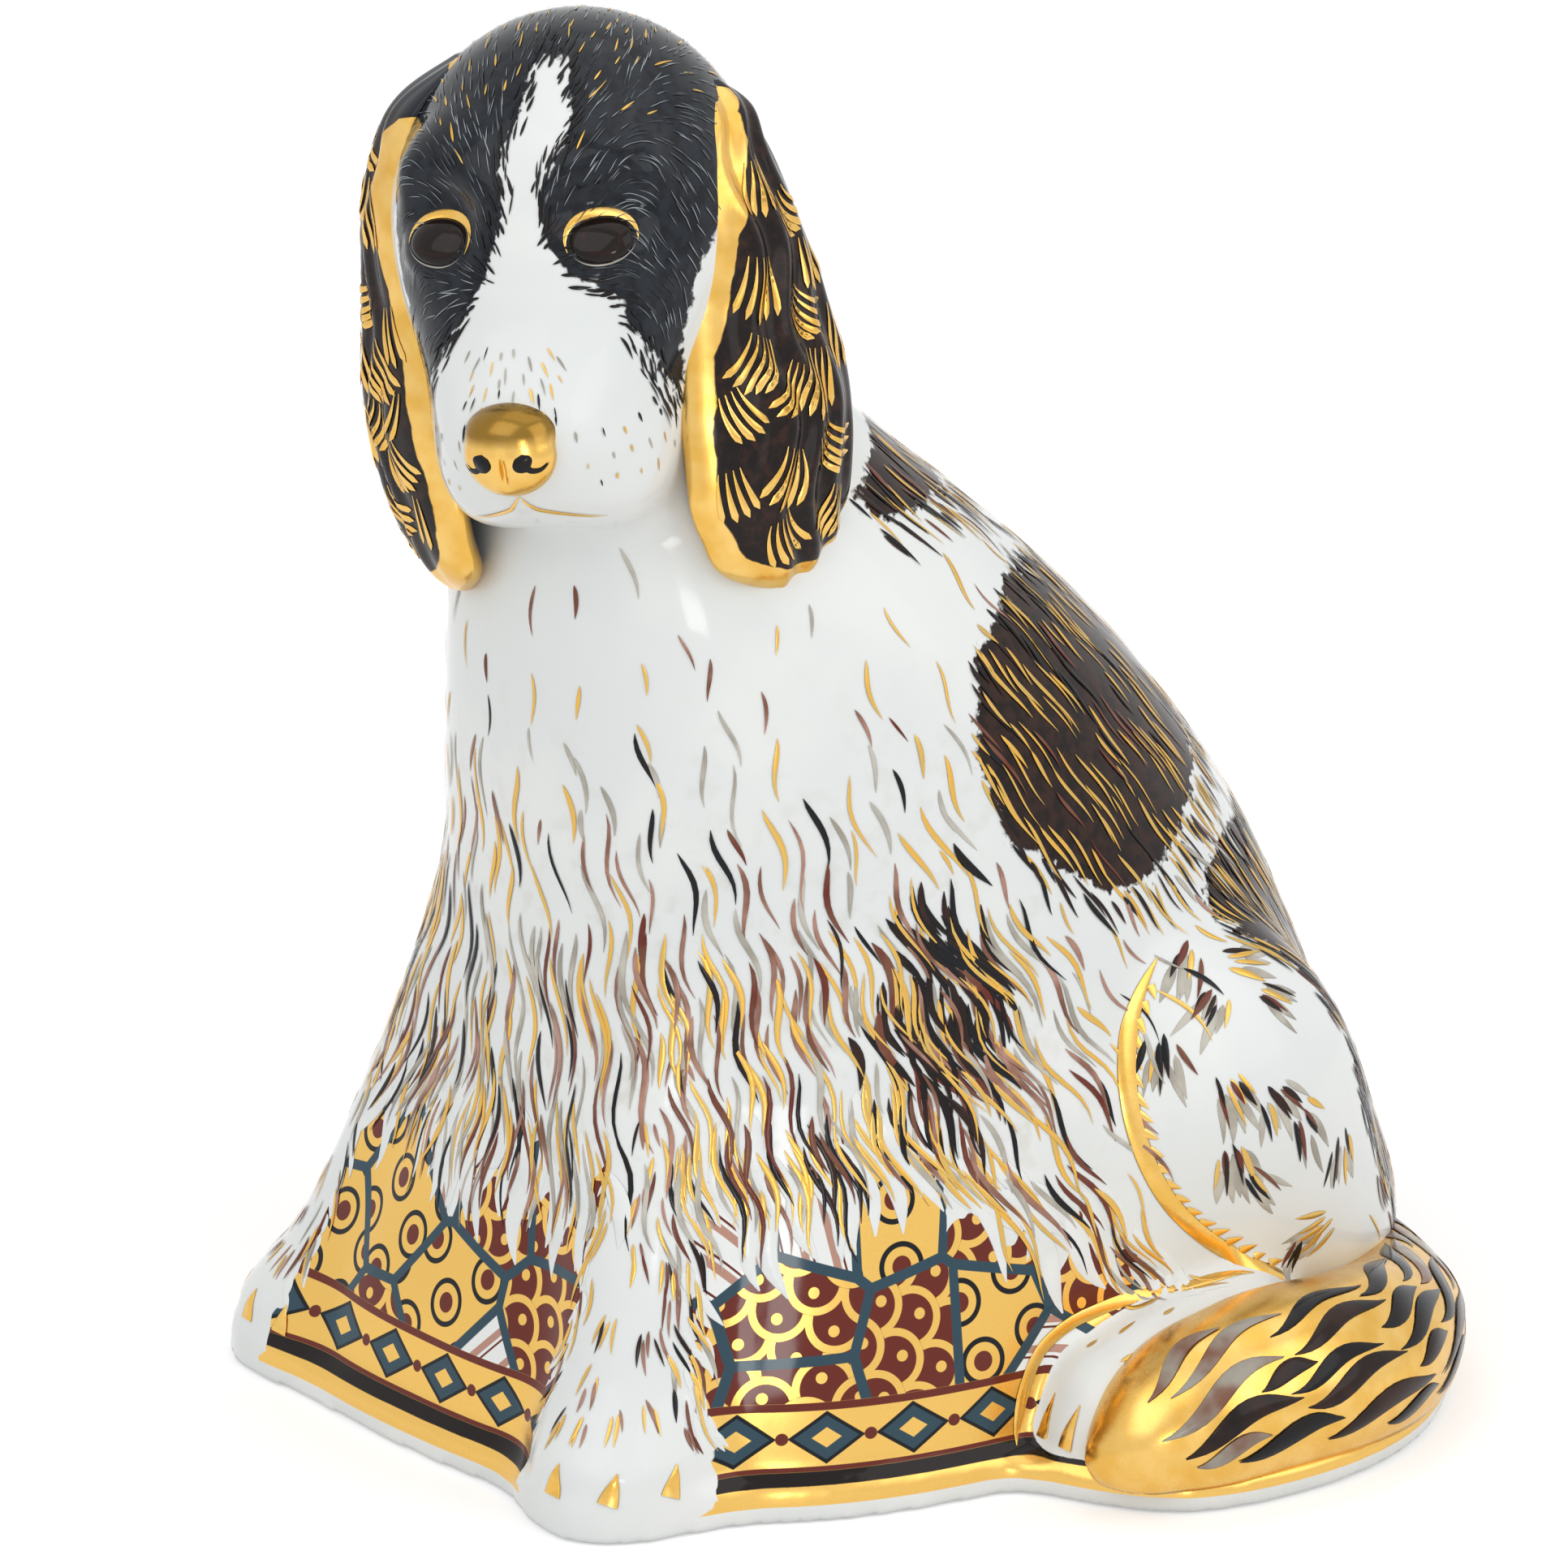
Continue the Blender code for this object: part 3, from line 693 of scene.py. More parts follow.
def foot_reach():
    """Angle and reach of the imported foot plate's rim, round the stopper."""
    points = np.array([vertex.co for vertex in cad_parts["base_plate"].data.vertices]) / MM
    reach = np.hypot(points[:, 0], points[:, 1])
    rim = reach > 2 * STOPPER_SEAT[0]
    rim &= (points[:, 2] > FOOT_HEIGHT / 8) & (points[:, 2] < FOOT_HEIGHT * 7 / 8)
    angle = np.arctan2(points[rim, 1], points[rim, 0])
    order = np.argsort(angle)
    return angle[order], reach[rim][order]


FOOT_ANGLE, FOOT_REACH = foot_reach()


def foot(p):
    """Foot rim with a rounded edge."""
    x, y = p[..., 0] + SHIFT[0], p[..., 1] + SHIFT[1]
    reach = np.interp(np.arctan2(y, x), FOOT_ANGLE, FOOT_REACH, period=2 * pi)
    side = RIM_SLANT * (np.hypot(x, y) - reach)
    return both(side, np.abs(p[..., 2] - FOOT_HEIGHT / 2) - FOOT_HEIGHT / 2, FOOT_EASE)


def china(p):
    """The whole glazed skin, without its stopper hole."""
    form = eased(trunk(p), forelegs(p), FORELEG_EASE)
    rump = np.clip((p[..., 1] - RUMP_EASE_START) / RUMP_EASE_RUN, 0, 1)
    form = eased(form, haunches(p), HAUNCH_EASE + RUMP_EASE * rump)
    form = eased(form, hind_paws(p), HIND_PAW_EASE)
    form = eased(form, foot(p), RIM_EASE)
    return eased(form, head(p), HEAD_EASE)


def cast(p):
    """The skin, flat underneath and bored for its stopper."""
    z = p[..., 2]
    around = np.hypot(p[..., 0] + SHIFT[0], p[..., 1] + SHIFT[1])
    form = np.maximum(china(p), -z)
    for radius, depth in (STOPPER_SEAT, STOPPER_BORE):
        form = np.maximum(form, -np.maximum(around - radius, z - depth))
    return form


def slope_of(field, p, reach=0.05):
    """Rise of a field at points, along each axis."""
    rise = np.empty_like(p)
    for i in range(3):
        step = np.zeros(3)
        step[i] = reach
        rise[:, i] = (field(p + step) - field(p - step)) / (2 * reach)
    return rise


def unit(vectors):
    """Vectors brought to length 1."""
    return vectors / np.maximum(np.linalg.norm(vectors, axis=-1, keepdims=True), TINY)


def settled(field, p, rounds=2, stride=0.6):
    """Points brought onto a field's surface by short steps, and the outward directions there."""
    for _ in range(rounds):
        rise = slope_of(field, p)
        move = field(p)[:, None] * rise / np.maximum((rise * rise).sum(1, keepdims=True), 0.25)
        size = np.maximum(np.linalg.norm(move, axis=1, keepdims=True), TINY)
        p = p - move * np.minimum(1, stride / size)
    return p, unit(slope_of(field, p))


def surface(field, low, high, step, block=4, near=1.8, at_once=200000):
    """Closed quads over a field's surface: one point in each cell that it crosses.

    The field is read once for each block of cells, and then for single cells in blocks near the surface.
    """
    low, high = np.asarray(low, float), np.asarray(high, float)
    count = np.ceil((high - low) / step).astype(int) + 1
    rough = [low[i] + step * (block * np.arange(-(-count[i] // block)) + (block - 1) / 2) for i in range(3)]
    value = field(np.stack(np.meshgrid(*rough, indexing="ij"), -1))
    for axis in range(3):
        value = value.repeat(block, axis)
    value = value[:count[0], :count[1], :count[2]]
    busy = np.argwhere(np.abs(value) < near * step * block)
    for part in np.array_split(busy, 1 + len(busy) // at_once):
        value[tuple(part.T)] = field(low + step * part)
    inside = value < 0
    full = np.zeros(count - 1, int)
    corners = [(i, j, k) for i in (0, 1) for j in (0, 1) for k in (0, 1)]
    for i, j, k in corners:
        full += inside[i:count[0] - 1 + i, j:count[1] - 1 + j, k:count[2] - 1 + k]
    cells = np.argwhere((full > 0) & (full < 8))
    index = np.full(count - 1, -1)
    index[tuple(cells.T)] = np.arange(len(cells))
    total, hits = np.zeros((len(cells), 3)), np.zeros(len(cells))
    for axis in range(3):
        for start in [np.array(c) for c in corners if c[axis] == 0]:
            end = start.copy()
            end[axis] = 1
            a = value[tuple((cells + start).T)]
            b = value[tuple((cells + end).T)]
            met = (a < 0) != (b < 0)
            crossing = np.tile(start.astype(float), (len(cells), 1))
            crossing[:, axis] = np.where(met, a / np.where(met, a - b, 1), 0)
            total += crossing * met[:, None]
            hits += met
    points = low + step * (cells + total / hits[:, None])
    quads = []
    for axis in range(3):
        first, second = (axis + 1) % 3, (axis + 2) % 3
        here = [slice(1, count[i] - 1) for i in range(3)]
        here[axis] = slice(0, count[axis] - 1)
        ahead = list(here)
        ahead[axis] = slice(1, count[axis])
        at = np.argwhere(inside[tuple(here)] != inside[tuple(ahead)])
        leaving = inside[tuple(here)][tuple(at.T)]
        at[:, first] += 1
        at[:, second] += 1
        ring = []
        for da, db in ((1, 1), (0, 1), (0, 0), (1, 0)):
            cell = at.copy()
            cell[:, first] -= da
            cell[:, second] -= db
            ring.append(index[tuple(cell.T)])
        ring = np.stack(ring, 1)
        ring[~leaving] = ring[~leaving][:, ::-1]
        quads.append(ring)
    return points, np.concatenate(quads)


def in_frame(points):
    """Figure millimetres as frame metres."""
    return (np.asarray(points) + SHIFT) * MM


def mesh_piece(name, points, faces, material, attributes=None):
    """A smoothly shaded object from points in figure millimetres, with point attributes."""
    mesh = bpy.data.meshes.new(name)
    mesh.from_pydata(in_frame(points).tolist(), [], [list(map(int, face)) for face in faces])
    for key, values in (attributes or {}).items():
        values = np.asarray(values, np.float32)
        kind = "FLOAT" if values.ndim == 1 else "FLOAT_VECTOR"
        layer = mesh.attributes.new(key, kind, "POINT")
        layer.data.foreach_set("value" if values.ndim == 1 else "vector", values.ravel())
    mesh.materials.append(material)
    mesh.shade_smooth()
    mesh.validate()
    piece = bpy.data.objects.new(name, mesh)
    bpy.context.scene.collection.objects.link(piece)
    return piece


def settle(piece, slot, *nodes):
    """Hang a finished piece on the figurine's body, over the solids that it stands for. The slot is not used.
    """
    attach(piece, "figurine")
    if nodes:
        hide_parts(*nodes)


def depth_in(points, outline):
    """Signed distance of plane points inside a closed outline."""
    outline = np.asarray(outline, float)
    inside = np.zeros(len(points), bool)
    near = np.full(len(points), np.inf)
    for a, b in zip(outline, np.roll(outline, -1, axis=0)):
        edge = b - a
        t = np.clip((points - a) @ edge / (edge @ edge), 0, 1)
        near = np.minimum(near, np.linalg.norm(points - a - t[:, None] * edge, axis=1))
        spans = (points[:, 1] < a[1]) != (points[:, 1] < b[1])
        rise = edge[1] if edge[1] else TINY
        inside ^= spans & (points[:, 0] < a[0] + (points[:, 1] - a[1]) * edge[0] / rise)
    return np.where(inside, near, -near)


def bearing(p):
    """Degrees round the trunk from its front, towards the dog's left."""
    return np.degrees(np.arctan2(p[..., 0] - MIDPLANE, PLAN_CENTRE - p[..., 1]))


class Wire:
    """One shader socket; arithmetic on it adds Math nodes to its tree."""

    def __init__(self, tree, socket=None):
        self.tree = tree
        self.socket = socket

    def node(self, kind, settings=None, sockets=None, output=0):
        """Add any node: its settings first, then the values or links of its sockets."""
        made = self.tree.nodes.new("ShaderNode" + kind)
        for name, value in (settings or {}).items():
            setattr(made, name, value)
        for name, value in (sockets or {}).items():
            if isinstance(value, Wire):
                self.tree.links.new(value.socket, made.inputs[name])
            else:
                made.inputs[name].default_value = value
        return Wire(self.tree, made.outputs[output])

    def maths(self, operation, *values):
        """A Math node on this tree."""
        return self.node("Math", {"operation": operation}, dict(enumerate(values)))

    def __add__(self, other):
        return self.maths("ADD", self, other)

    __radd__ = __add__

    def __sub__(self, other):
        return self.maths("SUBTRACT", self, other)

    def __rsub__(self, other):
        return self.maths("SUBTRACT", other, self)

    def __mul__(self, other):
        return self.maths("MULTIPLY", self, other)

    __rmul__ = __mul__

    def __truediv__(self, other):
        return self.maths("DIVIDE", self, other)

    def __pow__(self, other):
        return self.maths("POWER", self, other)

    def __abs__(self):
        return self.maths("ABSOLUTE", self)

    def most(self, other):
        return self.maths("MAXIMUM", self, other)

    def whole(self):
        return self.maths("FLOOR", self)

    def part(self):
        return self.maths("FRACT", self)

    def ramp(self, low, high):
        """0 below one value and 1 above another, eased between."""
        sockets = {"Value": self, "From Min": low, "From Max": high}
        return self.node("MapRange", {"interpolation_type": "SMOOTHSTEP"}, sockets)

    def over(self, above, below):
        """A colour laid over another where this mask is 1."""
        return self.node("Mix", {"data_type": "RGBA"}, {0: self, 6: below, 7: above}, output=2)

    def attribute(self, name, output=2):
        """A point attribute of the piece: its number, or its vector with output 1."""
        return self.node("Attribute", {"attribute_name": name}, output=output)

    def place(self, scale=1.0):
        """Object coordinates in millimetres times a scale."""
        where = self.node("TexCoord", output=3)
        return self.node("VectorMath", {"operation": "SCALE"}, {0: where, "Scale": scale / MM})

    def noise(self, size, detail=2.0, vector=None, **sockets):
        """Noise with features of about one size in millimetres."""
        where = vector or self.place()
        values = {"Vector": where, "Scale": 1 / size, "Detail": detail, **sockets}
        return self.node("TexNoise", {"noise_dimensions": "3D"}, values)


def colour(name):
    """One of the palette's colours as RGBA."""
    return (*getattr(bpy.context.scene.spaniel_palette, name), 1)


def new_material(name):
    """A material with one Principled shader: the material, its tree's wire and the shader."""
    material = bpy.data.materials.new(name)
    material.use_nodes = True
    shader = material.node_tree.nodes["Principled BSDF"]
    shader.inputs["Specular IOR Level"].default_value = GLAZE_SPECULAR
    return material, Wire(material.node_tree), shader


def connect(shader, wire, **values):
    """Set or link a shader's inputs; underscores stand for spaces."""
    for name, value in values.items():
        socket = shader.inputs[name.replace("_", " ")]
        if isinstance(value, Wire):
            wire.tree.links.new(value.socket, socket)
        else:
            socket.default_value = value


def glaze_bump(wire, strength=0.05):
    """The faint orange peel of a fired glaze."""
    height = wire.noise(2.2, 1.0) + 0.25 * wire.noise(0.5, 1.0)
    return wire.node("Bump", None, {"Strength": strength, "Distance": 0.1 * MM, "Height": height})


def gold_material(name, light="gold_light", rubbed=0.22):
    """Burnished gold, with brush drag and small worn places."""
    material, wire, shader = new_material(name)
    cloud = wire.noise(3.0, 3.0)
    drag = wire.noise(0.25, 2.0)
    tone = cloud.ramp(0.3, 0.75).over(colour(light), colour("gold_deep"))
    # Painted reflection: darker gold where a piece carries it, as on the nose's upper side
    tone = wire.attribute("dusk").over(colour("gold_painted_reflection"), tone)
    connect(
        shader, wire,
        Base_Color=tone,
        Metallic=1.0,
        Roughness=rubbed + 0.10 * (drag - 0.5) + 0.08 * (cloud - 0.5),
        Normal=wire.node("Bump", None, {"Strength": 0.12, "Distance": 0.05 * MM, "Height": drag}),
    )
    return material


def enamel_material(name, first, second, roughness=0.16):
    """Painted enamel whose colour thins and pools along the stroke."""
    material, wire, shader = new_material(name)
    pool = wire.noise(3.5, 2.0)
    connect(
        shader, wire,
        Base_Color=pool.ramp(0.3, 0.7).over(colour(first), colour(second)),
        Roughness=roughness + 0.1 * (wire.noise(0.4) - 0.5),
        Normal=glaze_bump(wire),
    )
    return material


def once(make, name, *values):
    """A material by name, made the first time it is asked for."""
    return bpy.data.materials.get(name) or make(name, *values)


def paint(name):
    """One of the brush colours as a material."""
    if name == "gold":
        return once(gold_material, "burnished_gold")
    if name == "fine":
        return once(gold_material, "fine_gold", "gold_hair", 0.3)
    first, second = {
        "black": ("cobalt_black", "umber_black"),
        "umber": ("umber", "umber_black"),
        "sienna": ("sienna", "iron_red"),
        "pink": ("pink", "sienna"),
        "grey": ("grey_wash", "grey_deep"),
        "taupe": ("grey_deep", "sienna"),
        "white": ("china_white", "china_shade"),
        # Scratched hair of the mask, its blue-grey partly a painted sheen of the glaze
        "silver": ("silver", "slate"),
    }[name]
    return once(enamel_material, "enamel_" + name, first, second)


def locks(wire, along, period, depth, seed):
    """How far pointed locks of hair reach past an edge, for places along it."""
    step = along / period
    chance = wire.node("TexWhiteNoise", {"noise_dimensions": "1D"}, {"W": step.whole() + seed})
    tip = 1 - abs(2 * step.part() - 1)
    return depth * (0.35 + 0.65 * chance) * tip**1.25


def patchwork(wire, place):
    """Crazy patchwork: straight seams between plain-patterned patches. Returns its colour and gold mask."""
    spread = {"Vector": place, "Scale": 1 / PATCH, "Randomness": 0.9}
    cell = wire.node("TexVoronoi", {"voronoi_dimensions": "2D", "feature": "F1"}, spread, output=1)
    edge = wire.node("TexVoronoi", {"voronoi_dimensions": "2D", "feature": "DISTANCE_TO_EDGE"}, spread)
    seam = 1 - (edge * PATCH).ramp(*SEAM)
    pick = wire.node("SeparateColor", None, {0: cell})
    turn = wire.node("SeparateColor", None, {0: cell}, output=1) * (2 * pi)
    turned = wire.node("VectorRotate", {"rotation_type": "Z_AXIS"}, {"Vector": place, "Angle": turn})
    x = wire.node("SeparateXYZ", None, {0: turned})
    y = wire.node("SeparateXYZ", None, {0: turned}, output=1)

    def line(distance, half):
        return 1 - distance.ramp(half - LINE_BLUR, half + LINE_BLUR)

    def in_tile(steps, size):
        return (steps.part() - 0.5) * size

    def from_middle(across, up):
        return (across * across + up * up) ** 0.5

    # Rings and pips on gold
    reach = from_middle(in_tile(x / DOT_TILE, DOT_TILE), in_tile(y / DOT_TILE, DOT_TILE))
    ring = line(abs(reach - DOT_RING), DOT_RING_HALF)
    pip = line(reach, DOT_PIP)
    rings = ring.over(colour("cobalt_black"), pip.over(colour("iron_red"), colour("gold_cloth")))
    # Overlapping scales in gold on iron red
    row = y / SCALE_ROW
    across = in_tile(x / SCALE_WIDTH + 0.5 * row.whole(), SCALE_WIDTH)
    up = row.part() * SCALE_ROW
    arc = line(abs(from_middle(across, up) - SCALE_ARC), SCALE_ARC_HALF)
    scale_gold = arc.most(line(from_middle(across, up - BEAD_UP), BEAD))
    scales = scale_gold.over(colour("gold_cloth"), colour("iron_red"))
    # Pink ticking on white
    stripe = line(abs(in_tile(x / TICKING, TICKING)), STRIPE_HALF)
    thin = line(abs(in_tile(x / TICKING + THIN_STRIPE_SHIFT, TICKING)), THIN_STRIPE_HALF)
    ticking = stripe.over(colour("pink"), thin.over(colour("iron_red"), colour("china_white")))

    is_scales = pick.ramp(*SCALES_FROM)
    is_ticking = pick.ramp(*TICKING_FROM)
    shade = is_ticking.over(ticking, is_scales.over(scales, rings))
    ring_gold = (1 - is_scales) * (1 - ring) * (1 - pip)
    gilt = ring_gold + is_scales * (1 - is_ticking) * scale_gold
    return seam.over(colour("teal"), shade), gilt * (1 - seam)


def hem(u, v, shade, gilt):
    """Border along the cloth's foot: gilt and dark lines under a gold band of teal lozenges."""
    def above(height):
        return v.ramp(height - HEM_BLUR, height + HEM_BLUR)

    across = ((u / LOZENGE_REPEAT).part() - 0.5) * LOZENGE_REPEAT
    up = v - LOZENGE_MIDDLE
    reach = abs(across) * LOZENGE_LEAN + abs(up)
    lozenge = 1 - reach.ramp(*LOZENGE)
    rim = 1 - reach.ramp(*LOZENGE_RIM)
    heart = 1 - reach.ramp(*LOZENGE_HEART)
    side = LOZENGE_REPEAT / 2 - abs(across)
    pearl = 1 - ((side * side + up * up) ** 0.5).ramp(*PEARL)
    gold = colour("gold_cloth")
    trim = heart.over(gold, lozenge.over(colour("teal"), rim.over(colour("cobalt_black"), gold)))
    trim = pearl.over(colour("iron_red"), trim)
    trim_gilt = (1 - rim + heart) * (1 - pearl)
    for low, high, name in HEM_LINES:
        mask = above(low) * (1 - above(high))
        trim = mask.over(colour(name), trim)
        trim_gilt = trim_gilt * (1 - mask)
    is_hem = 1 - above(HEM_TOP)
    return is_hem.over(trim, shade), is_hem * trim_gilt + (1 - is_hem) * gilt


def china_material(name):
    """White glaze with the dark mask, back patches and patchwork cloth painted under it."""
    material, wire, shader = new_material(name)
    place = wire.attribute("cloth_place", output=1)
    u = wire.node("SeparateXYZ", None, {0: place})
    v = wire.node("SeparateXYZ", None, {0: place}, output=1)
    top = wire.attribute("cloth_top")
    fore = wire.attribute("cloth_fore")
    hind = wire.attribute("cloth_hind").ramp(-0.05, 0.05)
    tuft = wire.noise(3.0) - 0.5
    bent = u + 0.35 * top + 2.5 * tuft
    fringe = locks(wire, bent, *FRINGE_LOCKS).most(locks(wire, bent + 1.7, *FRINGE_SMALL_LOCKS))
    feather = locks(wire, v + 1.6 * fore + 3.0 * tuft, *FEATHER_LOCKS)
    foot_line = 1 - v.ramp(HEM_LINE - 0.05, HEM_LINE + 0.05)
    on_cloth = (fore - feather).ramp(-0.05, 0.05) * v.ramp(-0.06, 0.06)
    on_cloth = on_cloth * ((top - fringe).ramp(-0.05, 0.05) * hind).most(foot_line)
    shade, gilt = hem(u, v, *patchwork(wire, place))
    gilt = gilt * on_cloth

    cloud = wire.noise(14.0, 2.0)
    white = cloud.ramp(0.35, 0.7).over(colour("china_white"), colour("china_shade"))
    wash = wire.attribute("hair_wash") * wire.noise(2.6, 4.0).ramp(0.5, 0.72)
    white = (0.55 * wash).over(colour("grey_wash"), white)

    fray = 1.1 * (wire.noise(0.8, 3.0) - 0.5) + 0.7 * (wire.noise(2.4) - 0.5)
    streak = wire.noise(1.3, 4.0).ramp(0.35, 0.65)
    mask = (wire.attribute("mask") + fray).ramp(-0.12, 0.12)
    patch = (wire.attribute("patch") + 2.4 * fray).ramp(-0.25, 0.25)
    body = on_cloth.over(shade, white)
    body = patch.over(streak.over(colour("umber_black"), colour("umber")), body)
    body = mask.over(streak.over(colour("cobalt_black"), colour("slate")), body)

    drag = wire.noise(0.3)
    connect(
        shader, wire,
        Base_Color=body,
        Metallic=gilt,
        Roughness=0.09 + 0.04 * (cloud - 0.5) + gilt * (0.14 + 0.1 * drag),
        Normal=glaze_bump(wire),
    )
    return material


def face_mask(p):
    """Millimetres inside the dark of the head, by its front outline and by height behind."""
    q = to_head(p)
    plane = q[:, 1:]
    front = np.maximum(depth_in(plane, LEFT_MASK), depth_in(plane, RIGHT_MASK))
    behind = q[:, 2] - NAPE
    share = np.clip((q[:, 0] - MASK_START) / MASK_FADE, 0, 1)
    reach = np.where(np.linalg.norm(q, axis=1) < HEAD_REACH, front * share + behind * (1 - share), -FAR)
    return np.clip(reach, -FAR, FAR)


def flank_patch(p):
    """Millimetres inside the nearest dark patch of the back."""
    turn = np.abs(bearing(p)) * MM_PER_DEGREE
    plane = np.column_stack((turn, p[:, 2] + PATCH_WAVE[0] * np.sin(p[:, 0] / PATCH_WAVE[1])))
    depth = np.full(len(p), -FAR)
    for outline in FLANK_PATCHES:
        scaled = np.asarray(outline, float) * (MM_PER_DEGREE, 1)
        depth = np.maximum(depth, depth_in(plane, scaled))
    by_head = (head(p) < PATCH_OFF_HEAD) & (to_head(p)[:, 0] > PATCH_HEAD_START)
    depth = np.where(by_head, -FAR, depth)
    return np.clip(depth, -FAR, FAR)


def cloth_edges(p):
    """Millimetres below the coat's fringe, clear of the forelegs and clear of the hind limbs."""
    below = np.interp(np.abs(bearing(p)), FRINGE[:, 0], FRINGE[:, 1]) - p[:, 2]
    below = below + np.interp(bearing(p), *FRINGE_RISE)
    hind = np.minimum(hind_paws(p) - CLOTH_OFF_HIND_PAW, haunches(p) - CLOTH_OFF_HAUNCH)
    fore = forelegs(p) - CLOTH_OFF_FORELEG
    front = p[:, 1] < CLOTH_FRONT
    before_right = front & (p[:, 0] < MIDPLANE)
    fore = np.where(before_right, p[:, 0] - CLOTH_RIGHT_EDGE - CLOTH_RIGHT_LEAN * p[:, 2], fore)
    leg_edge = MIDPLANE + read(FORELEG_SECTIONS, p[:, 2])[0] + CLOTH_LEG_MARGIN
    before_left = front & (p[:, 0] > MIDPLANE) & (p[:, 0] < leg_edge)
    fore = np.where(before_left, CLOTH_LEFT_EDGE + CLOTH_LEFT_LEAN * p[:, 2] - p[:, 0], fore)
    return np.clip(below, -FRINGE_FAR, FRINGE_FAR), np.clip(fore, -FAR, FAR), np.clip(hind, -FAR, FAR)


def cloth_place(p):
    """Millimetres round the trunk from its front, and up from the hem."""
    turn = np.linspace(-180, 180, 361)
    front, back, half = (float(column) for column in read(TRUNK_SECTIONS, 12.0))
    ring = np.column_stack((
        half * np.sin(np.radians(turn)), PLAN_CENTRE - (back - front) / 2 * np.cos(np.radians(turn)),
    ))
    run = np.concatenate(((0,), np.cumsum(np.linalg.norm(np.diff(ring, axis=0), axis=1))))
    bearings = bearing(np.column_stack((ring[:, 0] + MIDPLANE, ring[:, 1])))
    around = np.interp(bearing(p), bearings, run - run[180])
    return np.column_stack((around, p[:, 2] - HEM_FOOT, np.zeros(len(p))))


def hair_wash(p):
    """How much soft grey shading lies under the coat's strokes."""
    return np.interp(p[:, 2], *WASH_HEIGHTS) * np.interp(np.abs(bearing(p)), *WASH_TURNS)


def hair_width(share):
    """Fine at the start, fullest past a third, drawn out to a point."""
    return np.maximum(np.sin(pi * share**0.75) ** 0.8, 0.08)


def comma_width(share):
    """Round at the start, drawn out to a thin curl."""
    return np.maximum(np.sqrt(np.clip(1 - (share / 0.2 - 1) ** 2, 0, 1)), 0.38 * (1 - share) ** 0.6 + 0.02)


def flame_width(share):
    """Pointed at both ends and full between."""
    return np.maximum(np.sin(pi * share), 0.05)


def plume_width(share):
    """Pointed at the start, swelling to a round end."""
    return np.maximum(share**0.8 * np.minimum(1, 7 * (1 - share)) ** 0.5, 0.1)


def crescent_width(share):
    """Pointed at the start, soon full, then slowly narrower."""
    return np.maximum(np.minimum(1, 5 * share) ** 0.8 * (1 - 0.35 * share), 0.06)


def claw_width(share):
    """Broad at the start, with round sides to a point."""
    return np.maximum(1 - share**1.6, 0.06)


def band_width(share):
    """Even, with both ends drawn to points."""
    return np.maximum(np.minimum(1, np.minimum(share, 1 - share) * 8) ** 0.7, 0.08)


def trace(field, starts, heading, lengths, sway, rng):
    """Follow a heading over a field in shared waves: points and outward directions, a row for each stroke."""
    own = rng.normal(0, WAVE_VARIES, len(starts))
    p = np.array(starts, float)
    rows, leans = [], []
    for _ in range(STROKE_STEPS + 1):
        p, out = settled(field, p, 2)
        rows.append(p)
        leans.append(out)
        way = heading(p)
        way = unit(way - (way * out).sum(1, keepdims=True) * out)
        wave = p[:, 2] / HAIR_WAVE + WAVE_DRIFT * np.sin(p[:, 0] / WAVE_ACROSS)
        wave = wave + WAVE_DRIFT * np.cos(p[:, 1] / WAVE_ALONG)
        turn = (sway * np.sin(2 * pi * wave + own))[:, None]
        stride = (lengths / STROKE_STEPS)[:, None]
        p = p + stride * (way * np.cos(turn) + np.cross(out, way) * np.sin(turn))
    return np.stack(rows, 1), np.stack(leans, 1)


def drawn(field, path, count):
    """One stroke through places of a path, laid on a field."""
    path = np.asarray(path, float)
    run = np.concatenate(((0,), np.cumsum(np.linalg.norm(np.diff(path, axis=0), axis=1))))
    table = np.column_stack((run, path))
    p, out = settled(field, smooth_rows(table, np.linspace(0, run[-1], count)), 3)
    return p[None], out[None]


class Strokes:
    """Brush strokes kept by colour until they are laid."""

    def __init__(self, seed):
        self.rng = np.random.default_rng(seed)
        self.kept = {}

    def add(self, colours, points, leans, half_width, profile, lift=LIFT):
        """Keep strokes, sharing them out between colours given with their weights."""
        lift = self.rng.uniform(*lift, len(points))
        points = points + leans * lift[:, None, None]
        share = profile(np.linspace(0, 1, points.shape[1]))
        width = np.broadcast_to(np.asarray(half_width, float), (len(points),))[:, None] * share
        names = list(colours)
        weight = np.array([colours[name] for name in names], float)
        choice = self.rng.choice(len(names), len(points), p=weight / weight.sum())
        for i, name in enumerate(names):
            mine = choice == i
            self.kept.setdefault(name, []).extend(zip(points[mine], leans[mine], width[mine]))

    def brush(self, places, heading, length, width, colours, sway, lift=LIFT):
        """Keep hairs drawn over the china from places, their lengths and half widths between two values."""
        count = len(places)
        points, leans = trace(china, places, heading, self.rng.uniform(*length, count), sway, self.rng)
        self.add(colours, points, leans, self.rng.uniform(*width, count), hair_width, lift)

    def scatter(self, weight, count, gap, *hair):
        """Keep hairs drawn from skin points in number, likelier where the weight is high, spaced by a gap."""
        self.brush(sample(self.rng, weight, count, gap), *hair)

    def lay(self, prefix, slot):
        """Turn the kept strokes into one ribbon piece for each colour."""
        for name, strokes in self.kept.items():
            if strokes:
                settle(ribbons(prefix + "_" + name, strokes, paint(name)), slot)


